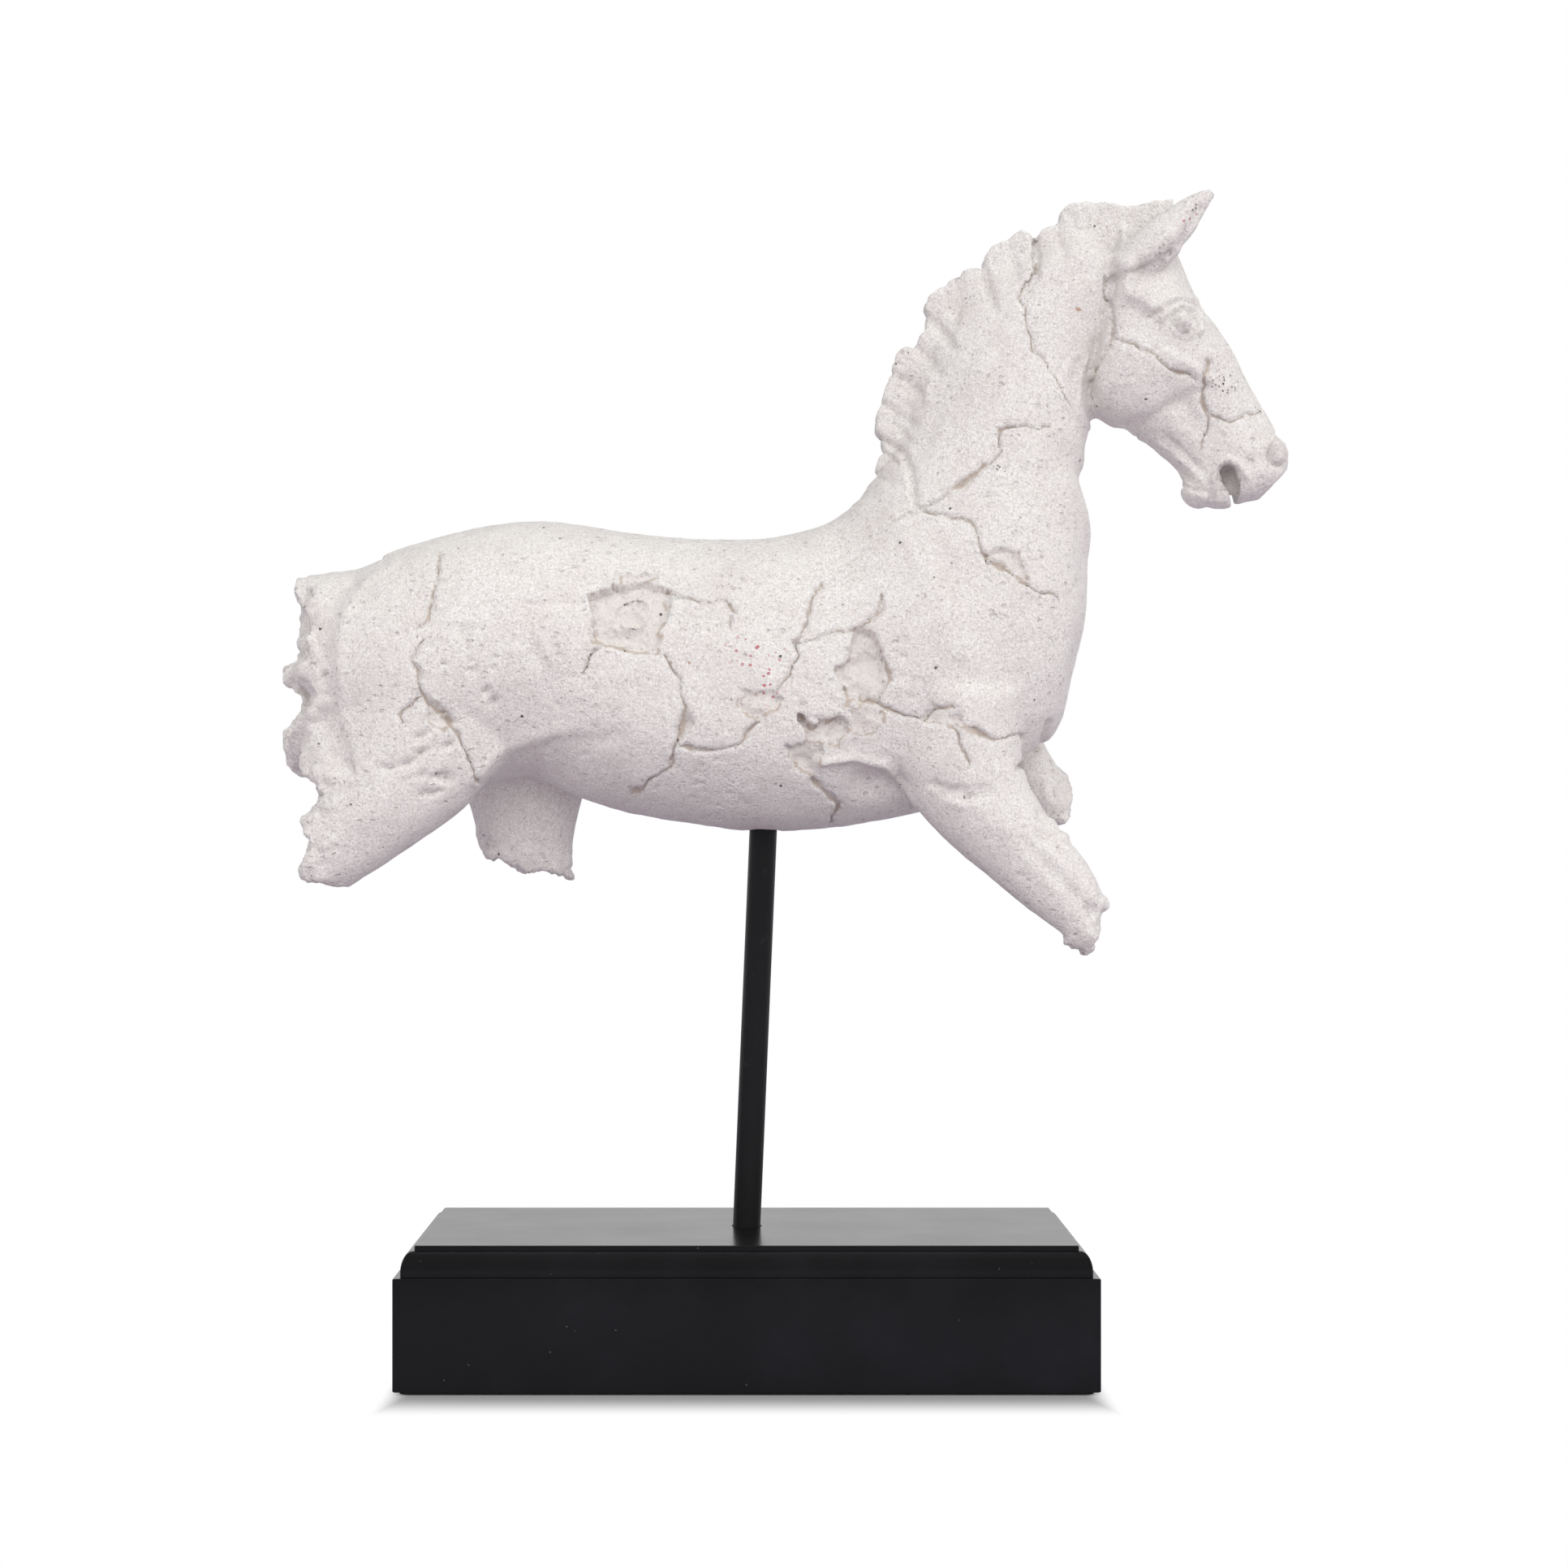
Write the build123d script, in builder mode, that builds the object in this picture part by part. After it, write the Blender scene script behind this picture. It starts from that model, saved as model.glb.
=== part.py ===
from build123d import *
import math
import os

# Horse torso on a leaning rod and a boxed plinth, in millimetres.
# The head looks towards +X, its near side faces -Y and +Z is up.
# The origin is the centre of the plinth's resting underside.

os.makedirs("parts", exist_ok=True)

# Driving dimensions of the plinth
plinth_length = 243.0
plinth_depth = 112.0
plinth_height = 50.4
board_thickness = 12.0
pad_thickness = 1.0
pad_inset = 2.0
pad_corner_radius = 3.0
bottom_thickness = 3.0
bottom_clearance = 0.3
rebate_width = 6.0

# Moulded edge of the top board, from the ledge up
ledge_width = 2.4
edge_rise = 1.7
ovolo_width = 3.8
ovolo_height = 7.0
quirk_width = 0.6
lip_height = 1.7

# Rod and its fixing
rod_diameter = 10.0
rod_lean = 2.4
rod_foot_x = 0.0
rod_reach = 143.0
rod_end_chamfer = 0.8
rod_hole_clearance = 0.5
thread_diameter = 8.0
thread_clearance = 0.1
thread_end_length = 3.0
shoulder_seat_depth = 1.5
block_length = 60.0
block_height = 22.0
block_side_clearance = 0.5
washer_diameter = 24.0
washer_thickness = 2.0
washer_seat_clearance = 0.5
washer_seat_depth = 1.5
nut_width = 13.0
nut_height = 6.5
nut_chamfer = 0.6

# Bottom board screws
screw_diameter = 2.5
screw_head_diameter = 5.0
screw_head_edge = 0.3
screw_head_height = 1.6
screw_length = 14.0
screw_tip_length = 2.0
screw_spacing = 140.0

# Socket in the belly
socket_depth = 50.0
socket_clearance = 0.05
sleeve_wall = 1.0
sleeve_end_thickness = 1.5
sleeve_inset = 4.0
mouth_clearance = 1.2

# Driving dimensions of the horse casting
horse_length = 361.0
horse_height = 273.6
horse_width = 84.0
mane_thickness = 10.0
eye_radius = 4.0
eye_side = 15.2
nostril_radius = 4.6
nostril_side = 6.6
chin_radius = 6.6
chin_side = 2.2
recess_depth = 3.0
tail_width = 30.0
rump_setback = 4.4
cut_overrun = 5.0

# Points around each station of the casting
ring_points = 12

# Stations of the casting. Each row: a station's first point and last point as shares of the
# casting's length and height, then, as shares of its half width, the side place and half
# width of the egg-shaped section, and last how far it is fuller towards its last point.
# Torso and lower neck, from the rump to the throat, back side first
torso_shares = [
    (-0.008, 0.485, -0.008, 0.244, 0.0, 0.60, 0.0),
    (0.038, 0.504, 0.041, 0.231, 0.0, 0.79, 0.0),
    (0.078, 0.520, 0.085, 0.214, 0.0, 0.90, 0.0),
    (0.127, 0.542, 0.132, 0.206, 0.0, 0.96, 0.0),
    (0.184, 0.562, 0.189, 0.214, 0.0, 0.99, 0.0),
    (0.241, 0.573, 0.244, 0.224, 0.0, 1.00, 0.05),
    (0.298, 0.568, 0.300, 0.206, 0.0, 0.98, 0.08),
    (0.355, 0.556, 0.355, 0.185, 0.0, 0.97, 0.10),
    (0.412, 0.550, 0.412, 0.173, 0.0, 0.97, 0.10),
    (0.469, 0.550, 0.469, 0.164, 0.0, 0.97, 0.10),
    (0.524, 0.562, 0.529, 0.167, 0.0, 0.95, 0.10),
    (0.564, 0.590, 0.599, 0.179, 0.0, 0.93, 0.10),
    (0.588, 0.628, 0.677, 0.209, 0.0, 0.90, 0.10),
    (0.612, 0.676, 0.768, 0.290, 0.0, 0.85, 0.12),
    (0.625, 0.722, 0.802, 0.405, 0.0, 0.75, 0.18),
    (0.634, 0.768, 0.805, 0.521, 0.0, 0.63, 0.20),
    (0.648, 0.813, 0.792, 0.628, 0.0, 0.54, 0.20),
]

# Upper neck, from the torso's last station to the poll, crest side first
neck_shares = [
    torso_shares[-1],
    (0.669, 0.854, 0.806, 0.696, 0.0, 0.47, 0.15),
    (0.699, 0.891, 0.811, 0.768, 0.0, 0.42, 0.10),
    (0.739, 0.923, 0.834, 0.833, 0.0, 0.38, 0.0),
    (0.785, 0.953, 0.855, 0.891, 0.0, 0.28, 0.0),
]

# Head, from the poll to the muzzle, brow side first
head_shares = [
    (0.842, 0.977, 0.803, 0.835, 0.0, 0.34, 0.0),
    (0.874, 0.931, 0.801, 0.768, 0.0, 0.44, 0.0),
    (0.900, 0.896, 0.812, 0.706, 0.0, 0.47, -0.05),
    (0.922, 0.846, 0.839, 0.693, 0.0, 0.44, -0.05),
    (0.943, 0.806, 0.864, 0.670, 0.0, 0.36, -0.05),
    (0.959, 0.765, 0.886, 0.647, 0.0, 0.30, -0.05),
    (0.976, 0.727, 0.904, 0.618, 0.0, 0.27, 0.0),
    (0.990, 0.697, 0.920, 0.596, 0.0, 0.28, 0.0),
    (1.001, 0.667, 0.943, 0.592, 0.0, 0.26, 0.0),
    (1.000, 0.639, 0.974, 0.604, 0.0, 0.16, 0.0),
]

# Limb stumps from the body outwards, rear side first, and ears from the root to the tip
near_hind_shares = [
    (0.070, 0.421, 0.245, 0.337, -0.50, 0.44, 0.0),
    (0.038, 0.327, 0.225, 0.242, -0.52, 0.42, 0.0),
    (0.023, 0.242, 0.185, 0.193, -0.54, 0.38, 0.0),
    (0.010, 0.169, 0.134, 0.146, -0.55, 0.32, 0.0),
    (0.006, 0.106, 0.070, 0.092, -0.56, 0.20, 0.0),
]
far_hind_shares = [
    (0.162, 0.344, 0.336, 0.322, 0.48, 0.44, 0.0),
    (0.172, 0.218, 0.293, 0.207, 0.50, 0.36, 0.0),
    (0.185, 0.158, 0.283, 0.147, 0.50, 0.30, 0.0),
    (0.190, 0.110, 0.286, 0.075, 0.50, 0.26, 0.0),
]
near_fore_shares = [
    (0.584, 0.347, 0.733, 0.347, -0.55, 0.36, 0.0),
    (0.608, 0.242, 0.730, 0.268, -0.57, 0.36, 0.0),
    (0.636, 0.179, 0.743, 0.211, -0.58, 0.32, 0.0),
    (0.680, 0.125, 0.766, 0.171, -0.58, 0.27, 0.0),
    (0.727, 0.074, 0.789, 0.129, -0.58, 0.22, 0.0),
    (0.767, 0.034, 0.809, 0.085, -0.58, 0.18, 0.0),
    (0.799, 0.001, 0.823, 0.032, -0.58, 0.10, 0.0),
]
far_fore_shares = [
    (0.669, 0.344, 0.769, 0.355, 0.50, 0.34, 0.0),
    (0.706, 0.245, 0.770, 0.273, 0.52, 0.32, 0.0),
    (0.735, 0.196, 0.792, 0.229, 0.53, 0.28, 0.0),
    (0.769, 0.158, 0.810, 0.185, 0.53, 0.22, 0.0),
]
near_ear_shares = [
    (0.818, 0.905, 0.836, 0.866, -0.20, 0.12, 0.0),
    (0.846, 0.947, 0.873, 0.898, -0.34, 0.16, 0.0),
    (0.879, 0.977, 0.899, 0.935, -0.40, 0.11, 0.0),
    (0.902, 0.994, 0.913, 0.968, -0.41, 0.06, 0.0),
    (0.918, 1.000, 0.923, 0.991, -0.42, 0.02, 0.0),
]
far_ear_shares = [(*row[:4], -row[4], *row[5:]) for row in near_ear_shares]

# Ragged crest of the mane, from the poll down to the withers, then back inside the neck
mane_shares = [
    (0.887, 0.998), (0.868, 0.996), (0.852, 0.988), (0.835, 0.989), (0.818, 0.993),
    (0.785, 0.991), (0.776, 0.985), (0.768, 0.964), (0.750, 0.951), (0.735, 0.958),
    (0.708, 0.937), (0.695, 0.911), (0.674, 0.902), (0.644, 0.871), (0.637, 0.855),
    (0.641, 0.827), (0.630, 0.809), (0.612, 0.797), (0.605, 0.771), (0.597, 0.736),
    (0.590, 0.712), (0.591, 0.688), (0.596, 0.668), (0.589, 0.640), (0.590, 0.618),
    (0.632, 0.598), (0.656, 0.652), (0.681, 0.727), (0.705, 0.802), (0.746, 0.867),
    (0.795, 0.910), (0.884, 0.942),
]

# Broken edges: each line is cut away together with all that lies outside it.
# The rump's line is that of the broken tail, and the rump on both sides is set back from it.
rump_break_shares = [
    (0.038, 0.080), (0.031, 0.085), (0.021, 0.115), (0.029, 0.151), (0.018, 0.179),
    (0.040, 0.210), (0.019, 0.235), (0.002, 0.262), (0.004, 0.287), (0.025, 0.321),
    (0.024, 0.343), (0.007, 0.364), (0.005, 0.374), (0.019, 0.395), (0.017, 0.417),
    (0.019, 0.438), (0.012, 0.453), (0.012, 0.481), (0.034, 0.506),
]
far_hind_break_shares = [
    (0.180, 0.150), (0.192, 0.140), (0.199, 0.129), (0.210, 0.132), (0.220, 0.118),
    (0.235, 0.109), (0.258, 0.110), (0.270, 0.104), (0.282, 0.098), (0.300, 0.112),
]
near_fore_break_shares = [
    (0.826, 0.100), (0.810, 0.064), (0.808, 0.048), (0.812, 0.032), (0.808, 0.022),
    (0.813, 0.005), (0.804, 0.001), (0.789, 0.010),
]
far_fore_break_shares = [
    (0.794, 0.250), (0.787, 0.232), (0.793, 0.215), (0.790, 0.201), (0.794, 0.184),
    (0.788, 0.175), (0.774, 0.173), (0.762, 0.166),
]

# Mouth slot, and the eye, nostril and chin centres
mouth_shares = [
    (0.946, 0.585), (0.940, 0.616), (0.935, 0.629), (0.935, 0.641), (0.942, 0.648),
    (0.948, 0.642), (0.949, 0.630), (0.951, 0.616), (0.953, 0.585),
]
eye_place_shares = (0.892, 0.828)
nostril_place_shares = (0.982, 0.664)
chin_place_shares = (0.915, 0.616)
socket_place_shares = (0.4775, 0.164)

# Chipped patches on the near side
flank_recess_shares = [
    (0.308, 0.456), (0.311, 0.470), (0.335, 0.471), (0.337, 0.491), (0.375, 0.489),
    (0.375, 0.477), (0.386, 0.449), (0.380, 0.421), (0.378, 0.390), (0.314, 0.380),
    (0.314, 0.406), (0.310, 0.425),
]
girth_recess_shares = [
    (0.564, 0.419), (0.586, 0.409), (0.591, 0.380), (0.599, 0.358), (0.591, 0.343),
    (0.589, 0.329), (0.573, 0.332), (0.553, 0.319), (0.556, 0.346), (0.547, 0.372),
    (0.561, 0.383),
]
elbow_recess_shares = [
    (0.513, 0.308), (0.529, 0.298), (0.550, 0.305), (0.559, 0.289), (0.551, 0.274),
    (0.532, 0.271), (0.521, 0.274),
]

# Heights of the plinth
box_top = plinth_height - edge_rise - ovolo_height - lip_height
top_board_thickness = plinth_height - box_top
side_height = box_top - pad_thickness
inner_length = plinth_length - 2 * board_thickness
inner_depth = plinth_depth - 2 * board_thickness

# Distances along the rod from its foot, the point where its axis leaves the plinth
shoulder_drop = top_board_thickness + shoulder_seat_depth
washer_drop = top_board_thickness + block_height - washer_seat_depth
nut_drop = washer_drop + washer_thickness
rod_bottom_drop = nut_drop + nut_height + thread_end_length
rod_top_reach = rod_reach + socket_depth
sleeve_radius = rod_diameter / 2 + socket_clearance + sleeve_wall
sleeve_length = socket_depth - sleeve_inset + sleeve_end_thickness

rod_axis = Vector(math.sin(math.radians(rod_lean)), 0, math.cos(math.radians(rod_lean)))
rod_foot = Vector(rod_foot_x, 0, plinth_height)


def rod_plane(distance):
    """The plane across the rod at a distance from its foot."""
    return Plane(origin=rod_foot + rod_axis * distance, x_dir=(0, 1, 0), z_dir=rod_axis)


def horse_point(length_share, height_share, side=0.0):
    """A point of the casting, from shares of its length and height, set from the socket's mouth."""
    mouth = rod_foot + rod_axis * rod_reach
    return Vector(
        mouth.X + (length_share - socket_place_shares[0]) * horse_length,
        side,
        mouth.Z + (height_share - socket_place_shares[1]) * horse_height,
    )


def side_outline(shares):
    """The points of an outline seen from the side, as X and Z."""
    points = [horse_point(length_share, height_share) for length_share, height_share in shares]
    return [(point.X, point.Z) for point in points]


def station_ends(row):
    """The first and last points of a station."""
    side = row[4] * horse_width / 2
    return horse_point(row[0], row[1], side), horse_point(row[2], row[3], side)


def station_plane(row):
    """The plane of a station: it holds both of its ends and runs across the horse."""
    first, last = station_ends(row)
    across = Vector(0, 1, 0)
    return Plane(origin=(first + last) / 2, x_dir=across, z_dir=across.cross(first - last))


def station_ring(row, inset=0.0):
    """The egg-shaped ring of a station, in its own plane, or one set in from it."""
    first, last = station_ends(row)
    half_height = (first - last).length / 2 - inset
    half_width = row[5] * horse_width / 2 - inset
    ring = []
    for index in range(ring_points):
        angle = 2 * math.pi * index / ring_points
        fullness = 1 - row[6] * math.cos(angle)
        ring.append((half_width * fullness * math.sin(angle), half_height * math.cos(angle)))
    return ring


def draw_top_board(half_width):
    """Draw the top board's section, with the moulding on both of its edges."""
    ovolo_foot = box_top + edge_rise
    ovolo_head = ovolo_foot + ovolo_height
    lip_edge = half_width - ovolo_width - quirk_width
    centre_x = half_width - ovolo_width
    right = EllipticalCenterArc(
        (centre_x, ovolo_foot), ovolo_width, ovolo_height, start_angle=0, arc_size=90
    )
    left = EllipticalCenterArc(
        (-centre_x, ovolo_foot), ovolo_width, ovolo_height, start_angle=90, arc_size=90
    )
    Polyline(left @ 1, (-half_width, box_top), (half_width, box_top), right @ 0)
    Polyline(
        right @ 1,
        (lip_edge, ovolo_head),
        (lip_edge, plinth_height),
        (-lip_edge, plinth_height),
        (-lip_edge, ovolo_head),
        left @ 0,
    )


def screw_profile(grow=0.0):
    """The half section of a countersunk screw, head down, for one turn about its axis."""
    head_radius = screw_head_diameter / 2 + grow
    shank_radius = screw_diameter / 2 + grow
    return [
        (0, 0),
        (head_radius, 0),
        (head_radius, screw_head_edge),
        (shank_radius, screw_head_height),
        (shank_radius, screw_length - screw_tip_length),
        (0, screw_length + grow),
    ]


# Places of the bottom screws: two along each long side and one at each end
screw_x = inner_length / 2 + rebate_width / 2
screw_y = inner_depth / 2 + rebate_width / 2
screw_places = [
    (-screw_x, 0, pad_thickness),
    (screw_x, 0, pad_thickness),
    (-screw_spacing / 2, -screw_y, pad_thickness),
    (screw_spacing / 2, -screw_y, pad_thickness),
    (-screw_spacing / 2, screw_y, pad_thickness),
    (screw_spacing / 2, screw_y, pad_thickness),
]

# Pad under the plinth
with BuildPart() as base_pad:
    with BuildSketch():
        RectangleRounded(
            plinth_length - 2 * pad_inset, plinth_depth - 2 * pad_inset, pad_corner_radius
        )
    extrude(amount=pad_thickness)
base_pad.part.label = "base_pad"
export_step(base_pad.part, "parts/base_pad.step")

# Countersunk screws of the bottom board, and the space that one takes in the wood
with BuildPart() as screw:
    with BuildSketch(Plane.XZ):
        with BuildLine():
            Polyline(*screw_profile(), close=True)
        make_face()
    revolve(axis=Axis.Z)

with BuildPart() as screw_hole:
    with BuildSketch(Plane.XZ):
        with BuildLine():
            Polyline(*screw_profile(thread_clearance), close=True)
        make_face()
    revolve(axis=Axis.Z)

with BuildPart() as bottom_screws:
    with Locations(*screw_places):
        add(screw.part)
bottom_screws.part.label = "bottom_screws"
export_step(bottom_screws.part, "parts/bottom_screws.step")

# Thin bottom board in the rebate of the side boards
with BuildPart() as plinth_bottom:
    with BuildSketch(Plane.XY.offset(pad_thickness)):
        Rectangle(
            inner_length + 2 * (rebate_width - bottom_clearance),
            inner_depth + 2 * (rebate_width - bottom_clearance),
        )
    extrude(amount=bottom_thickness)
    with Locations(*screw_places):
        add(screw_hole.part, mode=Mode.SUBTRACT)
plinth_bottom.part.label = "plinth_bottom"
export_step(plinth_bottom.part, "parts/plinth_bottom.step")

# Side boards, mitred at the corners and rebated for the bottom board
half_length = plinth_length / 2
half_depth = plinth_depth / 2
inner_x = inner_length / 2
inner_y = inner_depth / 2
board_outlines = {
    "plinth_front": [
        (-half_length, -half_depth), (half_length, -half_depth), (inner_x, -inner_y), (-inner_x, -inner_y),
    ],
    "plinth_back": [
        (half_length, half_depth), (-half_length, half_depth), (-inner_x, inner_y), (inner_x, inner_y),
    ],
    "plinth_left": [
        (-half_length, half_depth), (-half_length, -half_depth), (-inner_x, -inner_y), (-inner_x, inner_y),
    ],
    "plinth_right": [
        (half_length, -half_depth), (half_length, half_depth), (inner_x, inner_y), (inner_x, -inner_y),
    ],
}
for board_name, corners in board_outlines.items():
    with BuildPart() as side_board:
        with BuildSketch(Plane.XY.offset(pad_thickness)):
            Polygon(*corners, align=None)
        extrude(amount=side_height)
        with BuildSketch(Plane.XY.offset(pad_thickness)):
            Rectangle(inner_length + 2 * rebate_width, inner_depth + 2 * rebate_width)
        extrude(amount=bottom_thickness, mode=Mode.SUBTRACT)
        with Locations(*screw_places):
            add(screw_hole.part, mode=Mode.SUBTRACT)
    side_board.part.label = board_name
    export_step(side_board.part, f"parts/{board_name}.step")

# Top board with the moulded edge, mitred at the corners by crossing two sections
with BuildPart() as plinth_top:
    with BuildSketch(Plane.YZ):
        with BuildLine():
            draw_top_board(half_depth - ledge_width)
        make_face()
    extrude(amount=half_length, both=True)
    with BuildSketch(Plane.XZ):
        with BuildLine():
            draw_top_board(half_length - ledge_width)
        make_face()
    extrude(amount=half_depth, both=True, mode=Mode.INTERSECT)
    with BuildSketch(rod_plane(0)):
        Circle(rod_diameter / 2 + rod_hole_clearance)
    extrude(amount=shoulder_drop, both=True, mode=Mode.SUBTRACT)
plinth_top.part.label = "plinth_top"
export_step(plinth_top.part, "parts/plinth_top.step")

# Wooden block under the top board, spot-faced square to the rod above and below
with BuildPart() as rod_block:
    with BuildSketch(Plane.XY.offset(box_top - block_height)):
        with Locations((rod_foot_x, 0)):
            Rectangle(block_length, inner_depth - 2 * block_side_clearance)
    extrude(amount=block_height)
    with BuildSketch(rod_plane(0)):
        Circle(thread_diameter / 2 + thread_clearance)
    extrude(amount=-rod_bottom_drop, mode=Mode.SUBTRACT)
    with BuildSketch(rod_plane(0)):
        Circle(rod_diameter / 2 + rod_hole_clearance)
    extrude(amount=-shoulder_drop, mode=Mode.SUBTRACT)
    with BuildSketch(rod_plane(-washer_drop)):
        Circle(washer_diameter / 2 + washer_seat_clearance)
    extrude(amount=-washer_thickness - cut_overrun, mode=Mode.SUBTRACT)
rod_block.part.label = "rod_block"
export_step(rod_block.part, "parts/rod_block.step")

# Washer and nut on the rod's threaded lower end
with BuildPart() as rod_washer:
    with BuildSketch(rod_plane(-washer_drop)):
        Circle(washer_diameter / 2)
        Circle(thread_diameter / 2 + thread_clearance, mode=Mode.SUBTRACT)
    extrude(amount=-washer_thickness)
rod_washer.part.label = "rod_washer"
export_step(rod_washer.part, "parts/rod_washer.step")

with BuildPart() as rod_nut:
    with BuildSketch(rod_plane(-nut_drop)):
        RegularPolygon(nut_width / 2, 6, major_radius=False)
    extrude(amount=-nut_height)
    nut_ends = rod_nut.faces().sort_by(Axis.Z)
    chamfer([*nut_ends[0].edges(), *nut_ends[-1].edges()], nut_chamfer)
    with BuildSketch(rod_plane(-nut_drop)):
        Circle(thread_diameter / 2)
    extrude(amount=-nut_height, mode=Mode.SUBTRACT)
rod_nut.part.label = "rod_nut"
export_step(rod_nut.part, "parts/rod_nut.step")

# Rod: full diameter from its shoulder in the block to its end in the socket, threaded below
with BuildPart() as rod:
    with BuildSketch(rod_plane(-shoulder_drop)):
        Circle(rod_diameter / 2)
    extrude(amount=shoulder_drop + rod_top_reach)
    with BuildSketch(rod_plane(-shoulder_drop)):
        Circle(thread_diameter / 2)
    extrude(amount=shoulder_drop - rod_bottom_drop)
    chamfer(rod.edges().sort_by(Axis.Z)[-1], rod_end_chamfer)
    chamfer(rod.edges().sort_by(Axis.Z)[0], rod_end_chamfer)
rod.part.label = "rod"
export_step(rod.part, "parts/rod.step")

# Steel sleeve cast into the belly: its closed end rests on the rod
with BuildPart() as socket_sleeve:
    with BuildSketch(rod_plane(rod_reach + sleeve_inset)):
        Circle(sleeve_radius)
    extrude(amount=sleeve_length)
    with BuildSketch(rod_plane(rod_reach + sleeve_inset)):
        Circle(rod_diameter / 2 + socket_clearance)
    extrude(amount=socket_depth - sleeve_inset, mode=Mode.SUBTRACT)
socket_sleeve.part.label = "socket_sleeve"
export_step(socket_sleeve.part, "parts/socket_sleeve.step")


# What the casting's lofts are made from, in the order in which they join
casting_lofts = [
    torso_shares,
    neck_shares,
    head_shares,
    near_hind_shares,
    far_hind_shares,
    near_fore_shares,
    far_fore_shares,
    near_ear_shares,
    far_ear_shares,
]

# Knobs of the head: place, distance from the middle and radius
knobs = [
    (eye_place_shares, eye_side, eye_radius),
    (nostril_place_shares, nostril_side, nostril_radius),
    (chin_place_shares, chin_side, chin_radius),
]

# Broken ends, each closed outside the casting and cut between two places across it
tail_line = side_outline(rump_break_shares)
rump_line = [(x + rump_setback, z) for x, z in tail_line]
far_hind_line = side_outline(far_hind_break_shares)
near_fore_line = side_outline(near_fore_break_shares)
far_fore_line = side_outline(far_fore_break_shares)
tail_outside = horse_point(0, 0).X - cut_overrun
low_outside = horse_point(0, 0).Z - cut_overrun
fore_outside = near_fore_line[0][0] + cut_overrun
tail_cut = [(tail_outside, tail_line[0][1]), *tail_line, (tail_outside, tail_line[-1][1])]
rump_cut = [(tail_outside, rump_line[0][1]), *rump_line, (tail_outside, rump_line[-1][1])]
far_hind_cut = [
    *far_hind_line,
    (far_hind_line[-1][0], low_outside),
    (far_hind_line[0][0], low_outside),
]
near_fore_cut = [
    *near_fore_line,
    (near_fore_line[-1][0], low_outside),
    (fore_outside, low_outside),
    (fore_outside, near_fore_line[0][1]),
]
far_fore_cut = [
    *far_fore_line,
    (far_fore_line[-1][0], near_fore_line[0][1]),
    (fore_outside, near_fore_line[0][1]),
    (fore_outside, far_fore_line[0][1]),
]
side_cuts = [
    (rump_cut, -horse_width, -tail_width / 2),
    (tail_cut, -tail_width / 2, tail_width / 2),
    (rump_cut, tail_width / 2, horse_width),
    (far_hind_cut, 0, horse_width),
    (near_fore_cut, -horse_width, 0),
    (far_fore_cut, 0, horse_width),
    (side_outline(mouth_shares), -horse_width, horse_width),
]

# Chipped patches of the near flank
recesses = [
    side_outline(flank_recess_shares),
    side_outline(girth_recess_shares),
    side_outline(elbow_recess_shares),
]

# Space that the chipped patches take, down to floors that follow the flank
with BuildPart() as chipped_space:
    for outline in recesses:
        with BuildSketch(Plane.XZ.offset(horse_width / 4)):
            with BuildLine():
                Polyline(*outline, close=True)
            make_face()
        extrude(amount=horse_width / 2)
    for row in torso_shares:
        with BuildSketch(station_plane(row)):
            with BuildLine():
                Spline(*station_ring(row, recess_depth), periodic=True)
            make_face()
    loft(mode=Mode.SUBTRACT)

# Cast horse: lofts joined, patches chipped, ends broken off, socket bored
with BuildPart() as horse_casting:
    for rows in casting_lofts:
        for row in rows:
            with BuildSketch(station_plane(row)):
                with BuildLine():
                    Spline(*station_ring(row), periodic=True)
                make_face()
        loft()
    add(chipped_space.part, mode=Mode.SUBTRACT)
    with BuildSketch(Plane.XZ):
        with BuildLine():
            Polyline(*side_outline(mane_shares), close=True)
        make_face()
    extrude(amount=mane_thickness / 2, both=True)
    for place_shares, side, radius in knobs:
        with Locations(horse_point(*place_shares, -side), horse_point(*place_shares, side)):
            Sphere(radius)
    for outline, side_from, side_to in side_cuts:
        with BuildSketch(Plane.XZ.offset(-side_to)):
            with BuildLine():
                Polyline(*outline, close=True)
            make_face()
        extrude(amount=side_to - side_from, mode=Mode.SUBTRACT)
    with BuildSketch(rod_plane(rod_reach - cut_overrun)):
        Circle(rod_diameter / 2 + mouth_clearance)
    extrude(amount=cut_overrun + sleeve_inset, mode=Mode.SUBTRACT)
    with BuildSketch(rod_plane(rod_reach)):
        Circle(sleeve_radius)
    extrude(amount=sleeve_inset + sleeve_length, mode=Mode.SUBTRACT)
horse_casting.part.label = "horse_casting"
export_step(horse_casting.part, "parts/horse_casting.step")
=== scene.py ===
"""Looks of an antique-style horse torso on a leaning rod above a moulded black plinth."""

import itertools
import logging
import math
from dataclasses import dataclass
from enum import Enum

import bmesh
import bpy
import numpy as np
from mathutils import Matrix, Vector


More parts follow.
